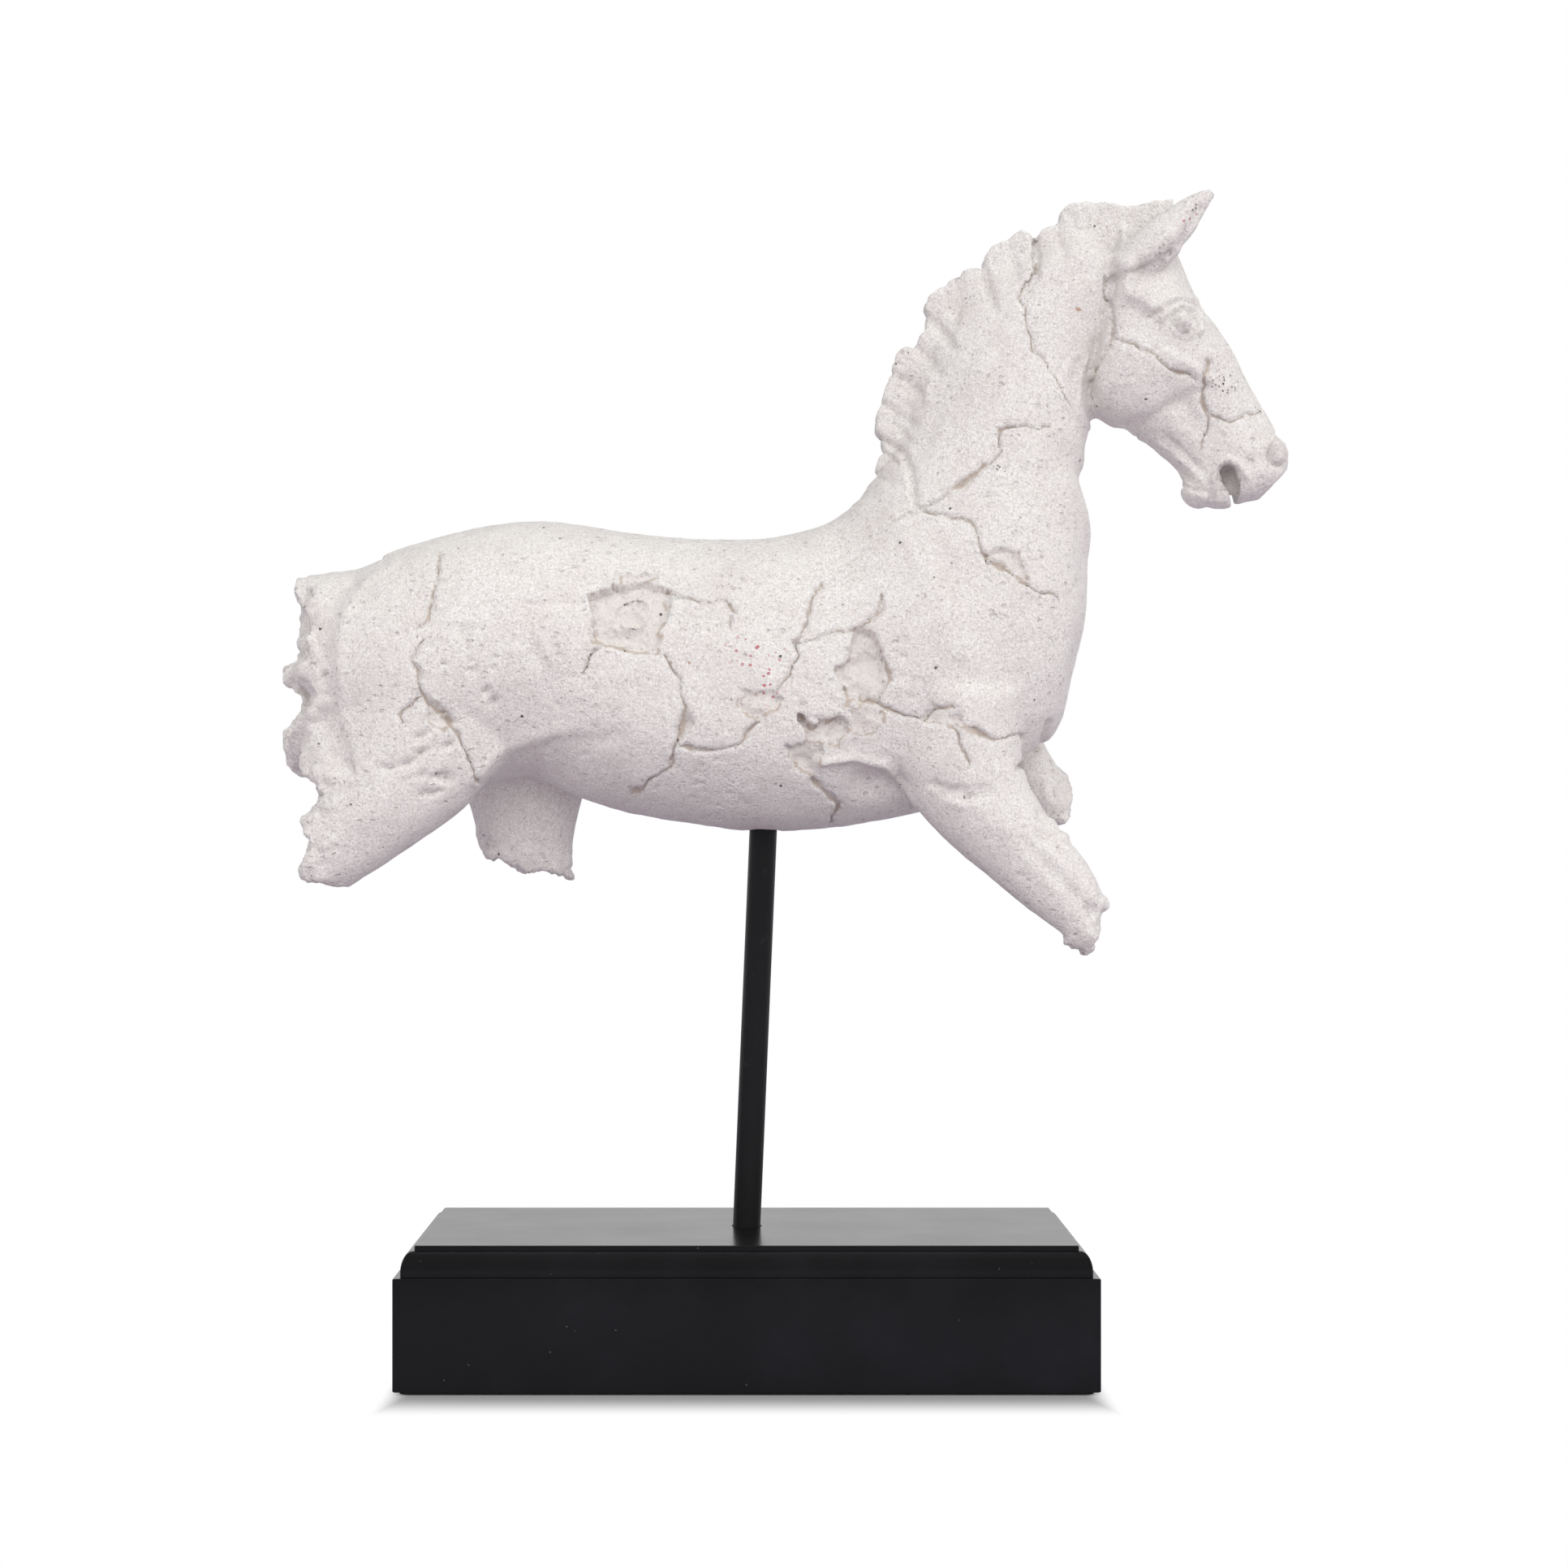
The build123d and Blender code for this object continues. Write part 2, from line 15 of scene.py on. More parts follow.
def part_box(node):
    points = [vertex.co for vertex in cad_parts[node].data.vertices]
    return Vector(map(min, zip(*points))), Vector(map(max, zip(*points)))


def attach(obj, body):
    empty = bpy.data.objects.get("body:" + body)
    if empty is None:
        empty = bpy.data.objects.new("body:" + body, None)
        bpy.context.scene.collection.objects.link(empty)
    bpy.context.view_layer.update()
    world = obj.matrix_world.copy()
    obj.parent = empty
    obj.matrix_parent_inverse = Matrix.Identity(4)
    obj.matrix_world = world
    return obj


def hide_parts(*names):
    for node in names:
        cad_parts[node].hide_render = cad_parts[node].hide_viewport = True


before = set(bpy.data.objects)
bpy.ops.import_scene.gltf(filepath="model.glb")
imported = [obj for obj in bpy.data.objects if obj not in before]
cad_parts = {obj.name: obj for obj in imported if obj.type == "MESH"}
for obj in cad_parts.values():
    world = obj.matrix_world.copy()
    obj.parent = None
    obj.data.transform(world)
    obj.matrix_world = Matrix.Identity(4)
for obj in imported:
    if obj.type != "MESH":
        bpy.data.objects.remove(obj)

LOG = logging.getLogger("horse_torso")
MM = 0.001
ROD_LEAN = math.radians(2.4)

# Multipliers that scatter the corners of a lattice over the whole numbers
CORNER_PRIMES = (73856093, 19349663, 83492791)
SEED_PRIME = 2654435
MIX_PRIME = 1274126177
KEY_BITS = 0x7FFFFFFF
SHORT_BITS = 0xFFFF

Place = tuple[float, float]
Colour = tuple[float, float, float]
Triple = tuple[float, float, float]
Layers = tuple[tuple[float, float, int], ...]


class Flank(Enum):
    """Side of the casting: the near one faces the camera."""

    NEAR = -1
    FAR = 1


class Profile(Enum):
    """Cross section of a stroke."""

    ROUND = "round"
    STEP = "step"


class Mask(Enum):
    """What the horse's mesh stores for each point, for the resin's shader."""

    # Crack stain, and painted shade on the chips' walls
    CRACK = "crack"
    CHIP = "chip"
    FLECK = "fleck"
    PITTED = "pitted"
    RUST = "rust"


@dataclass(frozen=True)
class PhotoView:
    """The level camera of the photograph, looking along +Y. Pixels are those of its whole frame."""

    frame_pixels: float = 1932.0
    centre_x: float = 920.0
    horizon_y: float = 1017.0
    focal_pixels: float = 3497.0
    distance: float = 1.028
    height: float = 0.1954
    sensor_width: float = 36.0

    def project(self, points: np.ndarray) -> np.ndarray:
        """Pixels where points show, with those of the far side mirrored to the near side.

        Args:
            points: Rows of X, Y and Z in metres.

        Returns:
            Rows of pixel places.
        """
        scale = self.focal_pixels / (self.distance - np.abs(points[:, 1]))
        across = self.centre_x + points[:, 0] * scale
        down = self.horizon_y + (self.height - points[:, 2]) * scale
        return np.column_stack((across, down))

    def lift(self, place: Place, depth: float) -> Vector:
        """Point in space that shows at a pixel.

        Args:
            place: Pixel across and down.
            depth: Its Y in metres.

        Returns:
            The point in the object's frame.
        """
        scale = self.focal_pixels / (self.distance + depth)
        across = (place[0] - self.centre_x) / scale
        up = self.height + (self.horizon_y - place[1]) / scale
        return Vector((across, depth, up))

    def add_camera(self) -> None:
        """Make the scene's camera with the photograph's frame."""
        data = bpy.data.cameras.new("photo_camera")
        data.sensor_width = self.sensor_width
        data.lens = self.focal_pixels / self.frame_pixels * self.sensor_width
        data.shift_x = (self.frame_pixels / 2 - self.centre_x) / self.frame_pixels
        data.shift_y = (self.horizon_y - self.frame_pixels / 2) / self.frame_pixels
        camera = bpy.data.objects.new("photo_camera", data)
        camera.location = (0.0, -self.distance, self.height)
        camera.rotation_euler = (math.pi / 2, 0.0, 0.0)
        bpy.context.scene.collection.objects.link(camera)
        bpy.context.scene.camera = camera


def smooth_step(
    values: np.ndarray, low: float | np.ndarray, high: float | np.ndarray
) -> np.ndarray:
    """Soft rise from 0 at low to 1 at high."""
    share = np.clip((values - low) / (high - low), 0.0, 1.0)
    return share * share * (3.0 - 2.0 * share)


def corner_keys(corners: np.ndarray, seed: int) -> np.ndarray:
    """Scattered whole number for each corner of a lattice.

    Args:
        corners: Rows of whole X, Y and Z.
        seed: Number of the pattern.

    Returns:
        One number for each corner.
    """
    parts = corners * CORNER_PRIMES
    return parts[:, 0] ^ parts[:, 1] ^ parts[:, 2] ^ seed * SEED_PRIME


def mix_keys(keys: np.ndarray, shift: int = 0) -> np.ndarray:
    """Scatter whole numbers once more."""
    return ((keys ^ (keys >> 13)) * MIX_PRIME + shift) & KEY_BITS


def lattice_noise(points: np.ndarray, size: float, seed: int) -> np.ndarray:
    """Smooth noise between -1 and 1.

    Args:
        points: Rows of X, Y and Z.
        size: Width of one lump, in the points' unit.
        seed: Number of the pattern.

    Returns:
        One value for each point.
    """
    turn = np.array(Matrix.Rotation(0.7 + seed, 3, Vector((0.4, 0.7, 0.6))))
    grid = points @ turn.T / size
    cell = np.floor(grid).astype(np.int64)
    part = grid - cell
    ease = part * part * part * (part * (part * 6.0 - 15.0) + 10.0)
    total = np.zeros(len(points))
    for corner in itertools.product((0, 1), repeat=3):
        keys = mix_keys(corner_keys(cell + corner, seed))
        value = ((keys ^ (keys >> 16)) & SHORT_BITS) / (SHORT_BITS // 2) - 1.0
        weight = np.prod(np.where(np.array(corner), ease, 1.0 - ease), axis=1)
        total += value * weight
    return total


def layered_noise(points: np.ndarray, layers: Layers) -> np.ndarray:
    """Sum of lattice noises.

    Args:
        points: Rows of X, Y and Z.
        layers: Size in metres, height and seed of each noise.

    Returns:
        One value for each point.
    """
    total = np.zeros(len(points))
    for size, height, seed in layers:
        total += lattice_noise(points, size, seed) * height
    return total


def cell_noise(points: np.ndarray, size: float, seed: int) -> np.ndarray:
    """Distance to the nearest of scattered grains, as a share of their spacing.

    Args:
        points: Rows of X, Y and Z.
        size: Spacing of the grains, in the points' unit.
        seed: Number of the pattern.

    Returns:
        One value for each point, 0 on a grain's centre and about 1 between grains.
    """
    grid = points / size
    cell = np.floor(grid).astype(np.int64)
    nearest = np.full(len(points), 4.0)
    for step in itertools.product((-1, 0, 1), repeat=3):
        corners = cell + step
        keys = corner_keys(corners, seed)
        centre = np.empty((len(points), 3))
        for axis in range(3):
            keys = mix_keys(keys, axis)
            centre[:, axis] = ((keys >> 8) & SHORT_BITS) / SHORT_BITS
        nearest = np.minimum(nearest, ((corners + centre - grid) ** 2).sum(axis=1))
    return np.sqrt(nearest)


def line_distance(
    places: np.ndarray, line: tuple[tuple[float, ...], ...], reach: float
) -> tuple[np.ndarray, np.ndarray, np.ndarray]:
    """Distance from places to a drawn line.

    Args:
        places: Rows of pixel places.
        line: The line's points: across, down and, where it varies, its width.
        reach: Distance past which nothing is worked out.

    Returns:
        The distance, the line's width at its nearest point and the side, -1 or 1.
    """
    nearest = np.full(len(places), reach)
    width = np.ones(len(places))
    side = np.zeros(len(places))
    for first, last in zip(line, line[1:]):
        start, end = np.array(first[:2]), np.array(last[:2])
        low, high = np.minimum(start, end) - reach, np.maximum(start, end) + reach
        rows = np.flatnonzero(np.all((places > low) & (places < high), axis=1))
        along = end - start
        offset = places[rows] - start
        share = np.clip(offset @ along / (along @ along), 0.0, 1.0)
        gap = offset - share[:, None] * along
        distance = np.hypot(gap[:, 0], gap[:, 1])
        closer = distance < nearest[rows]
        chosen = rows[closer]
        nearest[chosen] = distance[closer]
        side[chosen] = np.sign(along[0] * offset[closer, 1] - along[1] * offset[closer, 0])
        if len(first) > 2:
            width[chosen] = first[2] + share[closer] * (last[2] - first[2])
    return nearest, width, side


def outline_depth(places: np.ndarray, outline: tuple[Place, ...], reach: float) -> np.ndarray:
    """How far places lie inside a closed outline, in pixels, negative outside it.

    Args:
        places: Rows of pixel places.
        outline: The outline's points.
        reach: Distance past which nothing is worked out.

    Returns:
        One distance for each place.
    """
    closed = (*outline, outline[0])
    distance, _, _ = line_distance(places, closed, reach)
    inside = np.zeros(len(places), bool)
    for (first_x, first_y), (last_x, last_y) in zip(closed, closed[1:]):
        if first_y == last_y:
            continue
        crosses = (first_y > places[:, 1]) != (last_y > places[:, 1])
        meet = first_x + (places[:, 1] - first_y) * (last_x - first_x) / (last_y - first_y)
        inside ^= crosses & (places[:, 0] < meet)
    return np.where(inside, distance, -distance)


@dataclass(frozen=True)
class Stroke:
    """A ridge or groove drawn on the casting: its line and width in pixels, its height in mm."""

    line: tuple[Place, ...]
    width: float
    height: float
    profile: Profile = Profile.ROUND

    def lift(self, places: np.ndarray) -> np.ndarray:
        """Height that the stroke gives each place, in millimetres.

        Args:
            places: Rows of pixel places.

        Returns:
            One height for each place.
        """
        distance, _, side = line_distance(places, self.line, self.width * 3.0)
        if self.profile is Profile.STEP:
            level = 0.5 + 0.5 * side * (1.0 - np.exp(-distance / self.width))
            fade = 1.0 - smooth_step(distance, self.width, self.width * 3.0)
            return self.height * level * fade
        return self.height * np.exp(-((distance / self.width) ** 2))


@dataclass(frozen=True)
class Swell:
    """A soft bulge or hollow: its centre and half sizes in pixels, turn in degrees, height in mm."""

    centre: Place
    half_sizes: Place
    turn: float
    height: float
    flatness: float = 1.0

    def lift(self, places: np.ndarray) -> np.ndarray:
        """Height that the swell gives each place, in millimetres.

        Args:
            places: Rows of pixel places.

        Returns:
            One height for each place.
        """
        angle = math.radians(self.turn)
        across = places[:, 0] - self.centre[0]
        down = places[:, 1] - self.centre[1]
        first = (across * math.cos(angle) + down * math.sin(angle)) / self.half_sizes[0]
        second = (down * math.cos(angle) - across * math.sin(angle)) / self.half_sizes[1]
        return self.height * np.exp(-((first * first + second * second) ** self.flatness))


def spot(centre: Place, half_sizes: Place, turn: float = 0) -> Swell:
    """Area of full strength with a steep rim.

    Args:
        centre: Its centre in pixels.
        half_sizes: Its half sizes in pixels.
        turn: Its turn in degrees.

    Returns:
        The area.
    """
    return Swell(centre, half_sizes, turn, 1.0, 2.0)


@dataclass(frozen=True)
class Chip:
    """A chipped patch: its outline in pixels and its depth in mm."""

    outline: tuple[Place, ...]
    depth: float

    def openness(self, places: np.ndarray) -> np.ndarray:
        """How far places lie towards the chip's lower right, where its wall slopes gently.

        Args:
            places: Rows of pixel places.

        Returns:
            One share from 0 to 1 for each place.
        """
        outline = np.array(self.outline)
        offset = (places - outline.mean(axis=0)) / (np.ptp(outline, axis=0) / 2)
        return smooth_step(offset @ (0.30, 0.95), -0.25, 0.8)


# Forms on both sides of the head, neck and body
SWELLS = (
    Swell((1396, 468), (50, 54), 20, 2.6, 2.4),
    Swell((1408, 500), (40, 30), 30, 0.9),
    Swell((1466, 508), (18, 42), -40, -2.2),
    Swell((1410, 540), (34, 9), 24, -1.4),
    Swell((1425, 424), (30, 17), 42, -1.1),
    Swell((1420, 340), (26, 9), -22, -0.9),
    Swell((1412, 366), (20, 9), 28, 1.2),
    Swell((1455, 350), (26, 30), 60, 0.7),
    Swell((1500, 440), (20, 60), -32, 0.7),
    Swell((1528, 552), (22, 20), 50, 1.0),
    Swell((1547, 594), (12, 18), 10, 1.0),
    Swell((1550, 566), (9, 10), 30, -0.9),
    Swell((1345, 480), (18, 50), -14, -0.9),
    Swell((1345, 556), (9, 28), -8, -1.6),
    Swell((1300, 600), (22, 100), 5, -0.8),
    Swell((1250, 470), (60, 90), 30, 0.6),
    Swell((1150, 790), (66, 90), -25, 1.8),
    Swell((1225, 860), (44, 66), 10, 1.2),
    Swell((1080, 966), (34, 20), 8, -4.2),
    Swell((1040, 700), (30, 70), 20, -1.0),
    Swell((480, 850), (60, 110), 10, 1.8),
    Swell((570, 700), (70, 30), -12, 0.9),
    Swell((668, 850), (42, 90), 15, -2.4),
    Swell((648, 968), (66, 24), -25, -3.0),
    Swell((900, 920), (160, 44), 0, 1.0),
    Swell((455, 1000), (46, 18), -38, 0.9),
    Swell((420, 930), (30, 50), 20, -1.2),
    Swell((1260, 1040), (70, 18), 42, 0.8),
    Swell((1332, 830), (16, 62), 12, -3.6),
    Swell((1336, 700), (12, 70), -2, -1.2),
)

# Rounds of the eyes
EYES = (Swell((1458, 398), (12.5, 12.0), 0, 2.2, 3.0),)

# Ridges and grooves on both sides
STROKES = (
    Stroke(((1430, 394), (1441, 384), (1454, 378), (1468, 381), (1478, 393), (1479, 408)), 3.6, 1.6),
    Stroke(((1441, 401), (1448, 412), (1460, 416), (1470, 412)), 3.0, 1.0),
    Stroke(((1443, 397), (1448, 388), (1459, 383), (1470, 387), (1474, 398), (1470, 408)), 2.6, -1.9),
    Stroke(((1424, 388), (1438, 376), (1454, 370), (1471, 375), (1484, 390)), 3.0, -1.0),
    Stroke(((1422, 381), (1438, 370), (1456, 366), (1472, 371)), 5.0, 1.1),
    Stroke(((1392, 363), (1403, 367), (1416, 375), (1430, 381)), 7.5, 1.3),
    Stroke(((1388, 380), (1404, 388), (1424, 398)), 9.0, -0.5),
    Stroke(((1471, 411), (1477, 417), (1482, 428)), 2.4, -0.9),
    Stroke(((1438, 436), (1456, 446), (1476, 457), (1494, 470)), 6.5, 1.2),
    Stroke(((1350, 425), (1343, 470), (1348, 508), (1368, 530)), 8.0, -0.9),
    Stroke(((1443, 500), (1432, 530), (1446, 552)), 8.0, -0.9),
    Stroke(((1402, 541), (1430, 562), (1452, 581), (1470, 595)), 3.2, -1.2),
    Stroke(((1410, 533), (1438, 552), (1462, 573), (1482, 592)), 4.0, 1.1),
    Stroke(((1440, 540), (1462, 560), (1480, 578)), 3.0, -0.8),
    Stroke(((1567, 542), (1563, 551), (1562, 562), (1567, 571), (1578, 574)), 2.6, -2.0),
    Stroke(((1569, 545), (1579, 549), (1582, 558), (1576, 566)), 5.0, 1.2),
    Stroke(((1556, 530), (1568, 531), (1580, 538)), 2.6, -0.7),
    Stroke(((1493, 604), (1496, 588), (1502, 574), (1513, 565), (1526, 571), (1535, 586)), 3.6, 1.5),
    Stroke(((1538, 566), (1547, 582), (1549, 600)), 4.0, -1.0),
    Stroke(((1456, 597), (1472, 604), (1490, 605)), 3.4, -1.1),
    Stroke(((1480, 612), (1500, 616), (1514, 622)), 4.0, 0.7),
    Stroke(((1366, 348), (1384, 341), (1408, 332)), 5.0, -0.8),
    Stroke(((1404, 334), (1416, 329), (1430, 321), (1442, 311)), 4.5, -1.8),
    Stroke(((1384, 324), (1402, 317), (1424, 306), (1442, 290)), 10.0, 1.5),
    Stroke(((1456, 302), (1465, 282), (1479, 257)), 6.0, -1.6),
    Stroke(((1340, 335), (1300, 347), (1250, 374), (1204, 424), (1164, 488), (1134, 560)), 10.0, -0.8),
    Stroke(((1340, 440), (1330, 470), (1330, 500), (1342, 528)), 3.0, 0.6),
    Stroke(((1330, 442), (1321, 470), (1322, 500), (1336, 528)), 2.4, -0.7),
    Stroke(((1320, 440), (1311, 468), (1313, 498), (1328, 526)), 2.4, 0.45),
    Stroke(((1310, 440), (1302, 466), (1304, 492), (1318, 520)), 2.2, -0.4),
    Stroke(((1293, 891), (1284, 922), (1256, 946)), 3.6, -2.2),
    Stroke(((1011, 940), (1050, 933), (1092, 942), (1116, 970), (1122, 994)), 4.5, 1.8),
    Stroke(((592, 976), (627, 940), (690, 918), (760, 908)), 12.0, -0.8),
    Stroke(((584, 962), (620, 924), (690, 900)), 9.0, 0.9),
    Stroke(((478, 696), (446, 720), (428, 750), (420, 790), (418, 829), (424, 886), (438, 930)), 8.0, 0.9),
    Stroke(((466, 690), (440, 716), (421, 742), (411, 776), (408, 829), (414, 886), (430, 930)), 11.0, -2.2,
           Profile.STEP),
    Stroke(((1110, 650), (1146, 716), (1180, 800)), 16.0, 0.9),
    Stroke(((1275, 288), (1277, 315), (1276, 340), (1262, 356)), 4.5, -2.0),
    Stroke(((1301, 270), (1303, 290), (1310, 314)), 7.0, -1.2),
    Stroke(((1242, 294), (1246, 316), (1250, 338)), 8.0, -1.0),
    Stroke(((1207, 328), (1216, 352), (1224, 378)), 6.0, -1.6),
    Stroke(((1180, 336), (1181, 360), (1176, 396)), 6.0, -1.6),
    Stroke(((1163, 350), (1168, 368), (1170, 384)), 5.0, -0.9),
    Stroke(((1136, 384), (1156, 402), (1174, 428)), 6.0, -1.6),
    Stroke(((1124, 424), (1142, 440), (1154, 460)), 6.0, -1.6),
    Stroke(((1099, 460), (1118, 470), (1134, 488)), 6.0, -1.5),
    Stroke(((1088, 498), (1106, 508), (1124, 522)), 5.0, -1.2),
    Stroke(((1080, 540), (1096, 546), (1112, 556), (1122, 580), (1127, 622)), 4.5, -1.9),
    Stroke(((1104, 522), (1118, 542)), 4.0, -0.9),
    Stroke(((1084, 556), (1102, 568)), 4.0, -1.0),
    Stroke(((1076, 584), (1098, 594)), 4.0, -1.0),
    Stroke(((1152, 456), (1144, 476), (1141, 494)), 3.0, 1.0),
    Stroke(((1184, 408), (1172, 426)), 3.0, 0.9),
    Stroke(((1389, 526), (1421, 516), (1446, 500), (1480, 482)), 8.0, -1.3),
    Stroke(((1268, 1045), (1317, 1093), (1344, 1126)), 8.0, -1.2),
    Stroke(((1293, 1017), (1337, 1069), (1354, 1116)), 6.0, 0.9),
    Stroke(((1519, 590), (1517, 608)), 2.2, -0.9),
    Stroke(((1526, 592), (1524, 609)), 2.2, -0.9),
)

# Places where the joins of the casting's lofts are smoothed away
SOFT_SPOTS = (
    spot((1326, 590), (44, 40)),
    spot((1350, 292), (60, 22), 24),
    spot((1388, 282), (12, 24)),
    spot((1204, 844), (70, 16)),
    Swell((1262, 922), (16, 30), 0, 0.7, 2.0),
)

# Lumps, pits and dents of the near side alone
NEAR_MARKS = (
    Swell((781, 758), (7, 5), 10, -2.6),
    Swell((772, 786), (12, 5), -10, -1.8),
    Stroke(((762, 752), (769, 740), (784, 735), (800, 742)), 4.5, 1.1),
    Stroke(((796, 766), (784, 772), (768, 770)), 4.0, 0.9),
    Swell((756, 768), (9, 16), 0, 0.9),
    Swell((800, 782), (12, 14), 0, 0.9),
    Swell((1066, 800), (9, 14), 10, 1.3),
    Swell((1076, 826), (8, 12), -10, -1.5),
    Swell((1056, 842), (9, 8), 0, 1.2),
    Swell((1014, 902), (14, 9), 0, 0.9),
    Swell((990, 936), (8, 9), 0, -1.3),
    Swell((1000, 928), (5, 12), 10, 1.2),
    Swell((939, 872), (14, 8), 0, 1.2),
    Swell((1508, 588), (10, 16), -14, -1.4, 2.0),
    Swell((694, 786), (34, 38), 20, 0.9, 2.4),
    Stroke(((648, 742), (668, 748), (700, 744)), 6.0, -0.7),
    Stroke(((654, 756), (650, 776), (662, 812)), 7.0, -0.9),
    Stroke(((825, 697), (828, 680), (846, 674), (871, 679)), 3.0, -0.6),
    Stroke(((742, 724), (752, 716), (760, 722)), 4.0, 0.8),
    Swell((712, 744), (7, 6), 0, -1.2),
    Swell((845, 757), (6, 5), 20, -0.8),
    Swell((435, 717), (7, 9), 30, -1.1),
    Swell((396, 829), (4, 4), 0, -2.2),
    Swell((570, 776), (5, 6), 20, -1.4),
    Stroke(((464, 699), (478, 691)), 2.2, -1.0),
    Swell((586, 826), (6.9, 3.6), -50, -1.7),
    Swell((599, 851), (6.9, 3.6), -60, -1.9),
    Swell((607, 862), (6.9, 3.6), -55, -1.7),
    Swell((519, 905), (9.2, 3.9), -30, -2.1),
    Swell((522, 928), (8.05, 3.6), -25, -2.1),
    Swell((552, 919), (9.2, 3.9), -28, -2.3),
    Swell((477, 946), (9.2, 3.6), -20, -2.1),
    Swell((494, 942), (5.75, 3.6), -10, -1.5),
    Swell((503, 941), (6.9, 3.6), -20, -2.1),
    Swell((515, 935), (6.9, 3.6), -30, -1.5),
    Swell((542, 957), (10.3, 3.9), -10, -2.3),
    Swell((549, 962), (8.05, 3.6), -15, -1.9),
    Swell((536, 978), (10.3, 3.64), -25, -2.1),
    Swell((518, 954), (8.05, 3.6), -30, -1.5),
    Swell((524, 976), (6.9, 3.6), -30, -1.5),
    Swell((560, 888), (6.9, 3.9), 30, -1.7),
    Swell((1176, 976), (13.8, 6.5), -15, -2.3),
    Swell((1196, 984), (11.5, 5.2), -10, -2.5),
    Swell((1210, 974), (9.2, 6.5), 20, -1.9),
    Swell((1184, 990), (12, 5), 0, 0.9),
    Swell((1152, 969), (10.3, 5.2), 10, -1.9),
)

# Cracks of the near side: across, down and width in pixels
NEAR_CRACKS = (
    ((1363, 340, 3), (1362, 367, 4), (1372, 384, 4), (1372, 408, 8), (1369, 420, 6), (1359, 437, 3),
     (1352, 455, 3), (1343, 470, 4), (1344, 493, 3)),
    ((1375, 419, 3), (1387, 423, 4), (1395, 421, 3), (1415, 436, 6), (1424, 436, 3), (1433, 449, 4),
     (1449, 459, 6), (1465, 461, 3), (1475, 470, 2)),
    ((1487, 446, 5), (1486, 463, 4), (1481, 484, 3), (1481, 496, 7), (1487, 509, 4), (1486, 531, 2),
     (1480, 554, 2)),
    ((1488, 510, 3), (1502, 516, 4), (1516, 522, 3), (1535, 512, 3), (1554, 507, 2)),
    ((1276, 293, 3), (1273, 317, 3), (1277, 334, 6), (1262, 353, 7), (1254, 367, 3), (1261, 378, 3),
     (1264, 402, 3), (1273, 433, 4), (1286, 443, 3), (1298, 463, 2), (1306, 481, 2), (1321, 502, 2)),
    ((1232, 552, 3), (1230, 530, 5), (1245, 528, 4), (1262, 526, 6), (1277, 529, 5), (1295, 524, 3)),
    ((1237, 556, 3), (1219, 570, 3), (1204, 583, 4), (1184, 597, 10), (1176, 603, 4), (1160, 613, 3),
     (1134, 625, 2)),
    ((1099, 642, 3), (1115, 633, 4), (1138, 629, 4), (1160, 634, 4), (1175, 639, 4), (1197, 641, 4),
     (1204, 660, 4), (1208, 675, 5), (1216, 692, 4), (1240, 700, 7), (1256, 716, 4), (1268, 722, 4),
     (1283, 731, 5), (1303, 735, 3)),
    ((1060, 862, 3), (1080, 866, 4), (1088, 869, 5), (1104, 879, 6), (1136, 886, 5), (1157, 872, 4),
     (1176, 870, 3)),
    ((1200, 898, 6), (1212, 905, 7), (1226, 911, 4), (1243, 906, 4), (1258, 903, 5), (1261, 912, 3)),
    ((1175, 894, 4), (1183, 922, 3), (1196, 942, 2)),
    ((1087, 734, 4), (1082, 753, 5), (1071, 766, 4), (1050, 776, 3), (1021, 779, 3), (1005, 789, 4),
     (983, 793, 3)),
    ((1013, 720, 5), (1001, 736, 4), (995, 763, 4), (986, 786, 4), (980, 792, 6), (982, 806, 3),
     (978, 819, 4), (971, 832, 5), (958, 852, 3)),
    ((819, 728, 5), (839, 736, 5), (865, 743, 4), (893, 738, 5), (902, 750, 7), (908, 757, 3)),
    ((899, 762, 4), (898, 774, 2)),
    ((816, 806, 4), (826, 822, 6), (837, 836, 4), (839, 856, 4), (845, 872, 6), (843, 890, 15),
     (840, 903, 12), (832, 918, 6), (826, 947, 6), (799, 963, 5), (784, 976, 10), (778, 979, 3)),
    ((840, 920, 4), (855, 923, 8), (870, 925, 10), (885, 925, 4), (912, 917, 3), (923, 902, 6),
     (934, 888, 3)),
    ((733, 799, 5), (726, 816, 5), (718, 829, 3)),
    ((1001, 960, 8), (1010, 970, 6), (1018, 976, 4), (1033, 992, 7), (1028, 1002, 4), (1023, 1013, 3)),
    ((542, 684, 3), (538, 712, 4), (529, 749, 4), (528, 766, 3), (516, 773, 3)),
    ((524, 786, 4), (506, 812, 5), (518, 826, 5), (516, 844, 5), (524, 864, 5), (540, 876, 9),
     (552, 880, 4)),
    ((518, 859, 3), (498, 872, 3), (492, 884, 3), (496, 895, 2)),
    ((546, 884, 8), (561, 902, 6), (575, 930, 5), (583, 950, 3), (590, 964, 3)),
    ((986, 884, 5), (998, 897, 5), (1008, 895, 3)),
)

